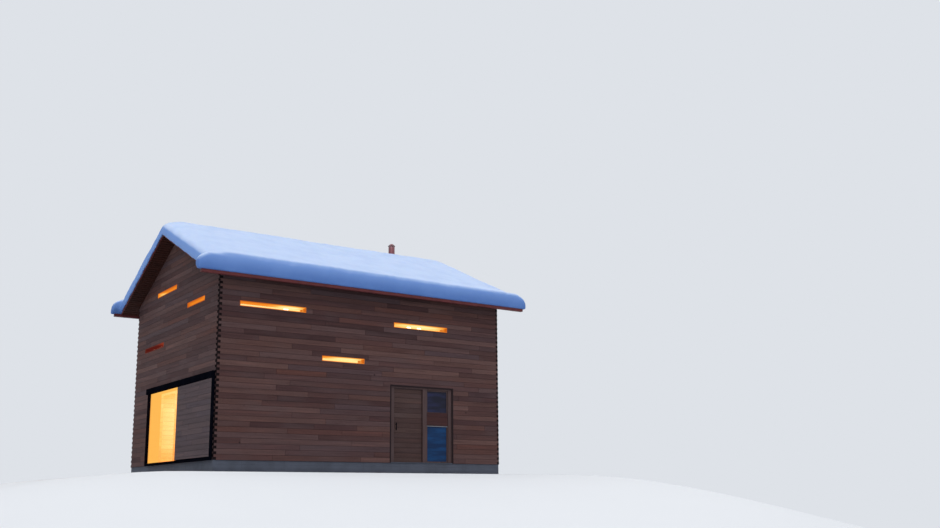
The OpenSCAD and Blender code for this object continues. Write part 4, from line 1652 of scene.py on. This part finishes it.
@dataclass
class SidelightBand:
    """The boarded band between the sidelight's panes, with a thin metal rail under it."""

    rect: Rect = Rect(2.03, 2.80, 1.495, 1.90)
    out: float = 3.544
    board_t: float = 0.013
    rows: int = 3
    rail: float = 0.021
    gap: float = 0.003
    proud: float = 0.002

    def build(self) -> None:
        """Makes the boards and the rail."""
        laid = Boarding(Face.FRONT, self.out, self.board_t, seed=71, shortest=3.0, edge=0.002)
        r = self.rect
        high = (r.z1 - r.z0) / self.rows
        for k in range(self.rows):
            laid.course(r.u0, r.u1, r.z0 + k * high, r.z0 + (k + 1) * high)
        laid.deliver("sidelight_boards", Finish.BAND, "frame_wood")
        top = r.z0 - self.gap
        rail = Joinery().box((r.u0, -self.out - self.proud, top - self.rail),
                             (r.u1, -self.out + self.board_t, top))
        rail.deliver("sidelight_rail", Finish.BRIGHT, "zinc", edge=0.002)


@dataclass
class EntranceTrim:
    """The dark trim round the entrance frame, its near-black partly painted shade of the gap round the
    frame, and the stops that the leaf shuts against.
    """

    face: float = 3.602
    back: float = 3.562
    lap: float = 0.016
    stop: float = 0.012
    stop_t: float = 0.020
    play: float = 0.002
    sill: float = 0.008

    def build(self) -> None:
        """Makes the trim and the stops."""
        e, out = ENTRANCE, SHADOW_GAP
        trim = Joinery()
        for x0, x1 in ((e.u0 - out, e.u0 + self.lap), (e.u1 - self.lap, e.u1 + out)):
            trim.box((x0, -self.face, e.z0), (x1, -self.back, e.z1 + out))
        trim.box((e.u0 + self.lap, -self.face, e.z1 - self.lap),
                 (e.u1 - self.lap, -self.back, e.z1 + out))
        trim.deliver("entrance_trim", Finish.TRIM, "black_steel", edge=0.002)
        low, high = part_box("door_leaf")
        stop = self.stop
        y0, y1 = low.y - self.play - self.stop_t, low.y - self.play
        stops = Joinery()
        for x0, x1 in ((low.x - stop, low.x + stop), (high.x - stop, high.x + stop)):
            stops.box((x0, y0, low.z - self.sill), (x1, y1, high.z + stop))
        for z0, z1 in ((high.z - stop, high.z + stop), (low.z - self.sill, low.z + stop)):
            stops.box((low.x + stop, y0, z0), (high.x - stop, y1, z1))
        stops.deliver("door_stops", Finish.LEAF, "frame_wood", edge=0.0015)


@dataclass
class ShutterReveal:
    """Thin lining boards round the shutter opening, lit from the room, and its steel threshold."""

    sizes: House = HOUSE_SIZES
    board_t: float = 0.012
    play: float = 0.004
    gap: float = 0.001
    threshold: float = 0.016
    threshold_w: float = 0.09

    def build(self) -> None:
        """Makes the linings of the two jambs and the head, and the threshold."""
        hole, t = SHUTTER_OPENING, self.board_t
        x0, x1 = -self.sizes.x_out + self.play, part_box("glazing_frame")[0].x - self.gap
        made = Joinery()
        for u in (hole.u0, hole.u1 - t):
            made.box((x0, u, hole.z0 + self.play), (x1, u + t, hole.z1))
        made.box((x0, hole.u0 + t, hole.z1 - t), (x1, hole.u1 - t, hole.z1))
        made.deliver("shutter_reveal", Finish.REVEAL, "lining", edge=0.001)
        plate = Joinery().box((x0, hole.u0 + t, hole.z0 + self.gap),
                              (x0 + self.threshold_w, hole.u1 - t, hole.z0 + self.threshold))
        plate.deliver("shutter_threshold", Finish.STEEL, "black_steel", edge=0.002)


@dataclass
class GutterGear:
    """Straps that hold the gutters."""

    sizes: House = HOUSE_SIZES
    strap_w: float = 0.03
    strap_t: float = 0.003
    spacing: float = 0.60
    end: float = 0.15
    gap: float = 0.001
    down: float = 0.002
    hook: float = 0.004

    def build(self) -> None:
        """Makes a row of straps under each gutter."""
        s = self.sizes
        count = int((2 * s.gutter_x - 2 * self.end) / self.spacing) + 1
        start = -(count - 1) * self.spacing / 2
        y0, y1, top = s.y_eave + self.gap, s.y_eave + s.gutter_w, s.gutter_z1 - self.down
        t, w = self.strap_t, self.strap_w / 2
        ring = [(y1 - self.hook, top), (y1 + t, top), (y1 + t, s.gutter_z0 - t),
                (y0, s.gutter_z0 - t), (y0, s.gutter_z0), (y1, s.gutter_z0)]
        for side, name in ((-1, "straps_front"), (1, "straps_back")):
            made = Joinery().prism([(start - w, side * y, z) for y, z in ring], (2 * w, 0, 0))
            piece = made.done(name, Finish.MAROON)
            row_pattern().put_on(piece, Count=count, Step=(self.spacing, 0.0, 0.0),
                                 Material=Finish.MAROON.material)
            Workshop.hand_over(Workshop.settle(piece), "roof_metal")


@dataclass
class Lamps:
    """Glass globes on rods under the ridge beam, seen through the front slots."""

    places: tuple[Point, ...] = ((-1.116, 0.0, 5.365), (3.55, 0.0, 5.15), (3.97, 0.0, 5.15))
    radius: float = 0.08
    rod: float = 0.008
    into_globe: float = 0.01
    beam: float = 0.30

    def build(self) -> None:
        """Makes the globes and their rods."""
        globes, rods = Joinery(), Joinery()
        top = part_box("roof_purlins")[1].z - self.beam
        for x, y, z in self.places:
            globes.globe((x, y, z), self.radius)
            rods.rod((x, y, z + self.radius - self.into_globe), (x, y, top), self.rod)
        globes.deliver("lamp_globes", Finish.LAMP, "lit_glass")
        rods.deliver("lamp_rods", Finish.STEEL, "black_steel")


@dataclass
class CadFinishes:
    """Gives the CAD nodes that stay in view their finishes."""

    nodes: dict[str, bpy.types.Object]
    kinds: tuple[tuple[Finish, str], ...] = (
        (Finish.CONCRETE, "foundation_slab entrance_sill"),
        (Finish.ROOMS, "ground_floor upper_floor wall_front_left wall_front_over "
                       "wall_front_right wall_left_front wall_left_over wall_left_back "
                       "wall_back wall_right wall_plates roof_purlins glazing_frame"),
        (Finish.DECK, "roof_deck_front roof_deck_back"),
        (Finish.MAROON, "roof_sheets roof_trims ridge_cap"),
        (Finish.FLUE, "flue"),
        (Finish.SLATS, "soffit_slats"),
        (Finish.LINING, "slot_linings"),
        (Finish.STEEL, "slide_surround slide_rail door_handle door_knuckles door_hinges"),
        (Finish.BRIGHT, "slide_hangers"),
        (Finish.JOINERY, "entrance_frame sidelight_frame"))

    def build(self) -> None:
        """Assigns a material to each node."""
        for finish, names in self.kinds:
            for name in names.split():
                slots = self.nodes[name].data.materials
                slots.clear()
                slots.append(finish.material)


# Stage, light and camera


@dataclass(frozen=True)
class PhotoCamera:
    """The photograph's viewpoint, tilted up a little so that the lens needs hardly any shift."""

    place: Point = (-14.59, -29.47, -0.71)
    yaw: float = math.radians(35.18)
    pitch: float = math.radians(10.88)
    roll: float = math.radians(-0.43)
    focal: float = 38.31
    sensor: float = 36.0
    shift_y: float = 0.045

    def build(self) -> None:
        """Makes the camera."""
        data = bpy.data.cameras.new("photo_camera")
        data.lens = self.focal
        data.sensor_width = self.sensor
        data.sensor_fit = "HORIZONTAL"
        data.shift_y = self.shift_y
        data.clip_end = 500
        ahead = Vector((math.sin(self.yaw) * math.cos(self.pitch),
                        math.cos(self.yaw) * math.cos(self.pitch), math.sin(self.pitch)))
        level = Vector((math.cos(self.yaw), -math.sin(self.yaw), 0.0))
        above = level.cross(ahead)
        right = level * math.cos(self.roll) + above * math.sin(self.roll)
        up = above * math.cos(self.roll) - level * math.sin(self.roll)
        camera = bpy.data.objects.new("photo_camera", data)
        camera.location = self.place
        camera.rotation_euler = Matrix((right, up, -ahead)).transposed().to_euler()
        bpy.context.scene.collection.objects.link(camera)
        bpy.context.scene.camera = camera


@dataclass(frozen=True)
class Stage:
    """A pale floor, level round the house and falling away beyond, that fades to the backdrop."""

    half: tuple[float, float] = (5.7, 4.6)
    margin: float = 0.5
    under: float = 0.001
    drop: float = 2.6
    run: float = 15.0
    fade: tuple[float, float] = (9.0, 26.0)
    cell: float = 0.6
    cells: int = 45
    far: tuple[float, ...] = (32.0, 60.0, 120.0, 240.0)
    colour: Colour = tint(226, 228, 232)
    worn: Colour = tint(205, 208, 214)
    clouds: Noise = Noise(0.5, 2.0)
    cloud_share: float = 0.1
    backdrop: Colour = tint(222, 226, 232)

    def _height(self, x: float, y: float) -> float:
        """Height of the floor at a place."""
        away = math.hypot(max(0.0, abs(x) - self.half[0] - self.margin),
                          max(0.0, abs(y) - self.half[1] - self.margin))
        share = min(1.0, away / self.run)
        return -self.under - self.drop * share * share * (3 - 2 * share)

    def build(self) -> None:
        """Makes the floor."""
        steps = sorted({sign * value for sign in (-1, 1)
                        for value in (*(i * self.cell for i in range(self.cells)), *self.far)})
        count = len(steps)
        points = [(x, y, self._height(x, y)) for x in steps for y in steps]
        faces = [(i * count + j, (i + 1) * count + j, (i + 1) * count + j + 1, i * count + j + 1)
                 for i in range(count - 1) for j in range(count - 1)]
        mesh = bpy.data.meshes.new("stage_floor")
        mesh.from_pydata(points, [], faces)
        mesh.polygons.foreach_set("use_smooth", [True] * len(mesh.polygons))
        mix = Recipe("stage_floor")
        cloud = mix.noise(self.clouds) * self.cloud_share
        ground = mix.node("ShaderNodeBsdfPrincipled", None, {
            "Base Color": mix.blend(cloud, self.colour, self.worn), "Roughness": 0.9})
        faded = mix.away((0.0, 0.0, 0.0)).ramp(*self.fade) * mix.seen()
        far = mix.node("ShaderNodeEmission", None, {"Color": self.backdrop, "Strength": 1.0})
        mix.node("ShaderNodeOutputMaterial", None, {"Surface": mix.node(
            "ShaderNodeMixShader", None, {0: faded, 1: ground, 2: far})})
        mesh.materials.append(mix.material)
        Workshop.piece("stage_floor", mesh)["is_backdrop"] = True


@dataclass(frozen=True)
class Studio:
    """Soft, plain light: an even surround and three wide lamps."""

    surround: float = 0.62
    sky: Colour = (0.94, 0.97, 1.0)
    backdrop: Colour = Stage.backdrop
    lamps: tuple[tuple[str, Point, float, float], ...] = (
        ("key", (0.55, 0.75, -0.62), 0.95, 60.0), ("fill", (-0.80, 0.45, -0.45), 0.35, 90.0),
        ("top", (0.05, 0.10, -1.0), 0.75, 70.0))

    def build(self) -> None:
        """Makes the world and the lamps."""
        world = bpy.data.worlds.new("studio")
        bpy.context.scene.world = world
        world.use_nodes = True
        graph = Graph(world.node_tree)
        graph.tree.nodes.clear()
        light = graph.node("ShaderNodeBackground", None,
                           {"Color": self.sky, "Strength": self.surround})
        shown = graph.node("ShaderNodeBackground", None, {"Color": self.backdrop, "Strength": 1.0})
        mixed = graph.node("ShaderNodeMixShader", None, {0: graph.seen(), 1: light, 2: shown})
        graph.node("ShaderNodeOutputWorld", None, {"Surface": mixed})
        for name, way, strength, spread in self.lamps:
            data = bpy.data.lights.new(name, "SUN")
            data.energy = strength
            data.angle = math.radians(spread)
            lamp = bpy.data.objects.new(name, data)
            lamp.rotation_euler = Vector(way).to_track_quat("-Z", "Y").to_euler()
            bpy.context.scene.collection.objects.link(lamp)


def corners(box: tuple[Vector, Vector]) -> list[list[float]]:
    """A box as plain lists of numbers."""
    return [[float(part) for part in corner] for corner in box]


def main() -> None:
    """Builds the chalet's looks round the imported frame."""
    logging.basicConfig(level=logging.INFO, format="%(name)s: %(message)s")
    for old in list(bpy.data.objects):
        bpy.data.objects.remove(old)
    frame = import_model()
    cad_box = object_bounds()
    bpy.context.scene.view_settings.view_transform = "Standard"
    PhotoCamera().build()
    Stage().build()
    Studio().build()
    for part in (CadFinishes(frame["nodes"]), Cladding(), RoofSnow(), ShutterPanel(), DoorLeaf(),
                 Glazing(), SidelightBand(), EntranceTrim(), ShutterReveal(), GutterGear(),
                 Lamps()):
        part.build()
        LOG.info("%s is done", type(part).__name__)
    sizes = {"cad": corners(cad_box), "visual": corners(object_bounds())}


if __name__ == "__main__":
    main()
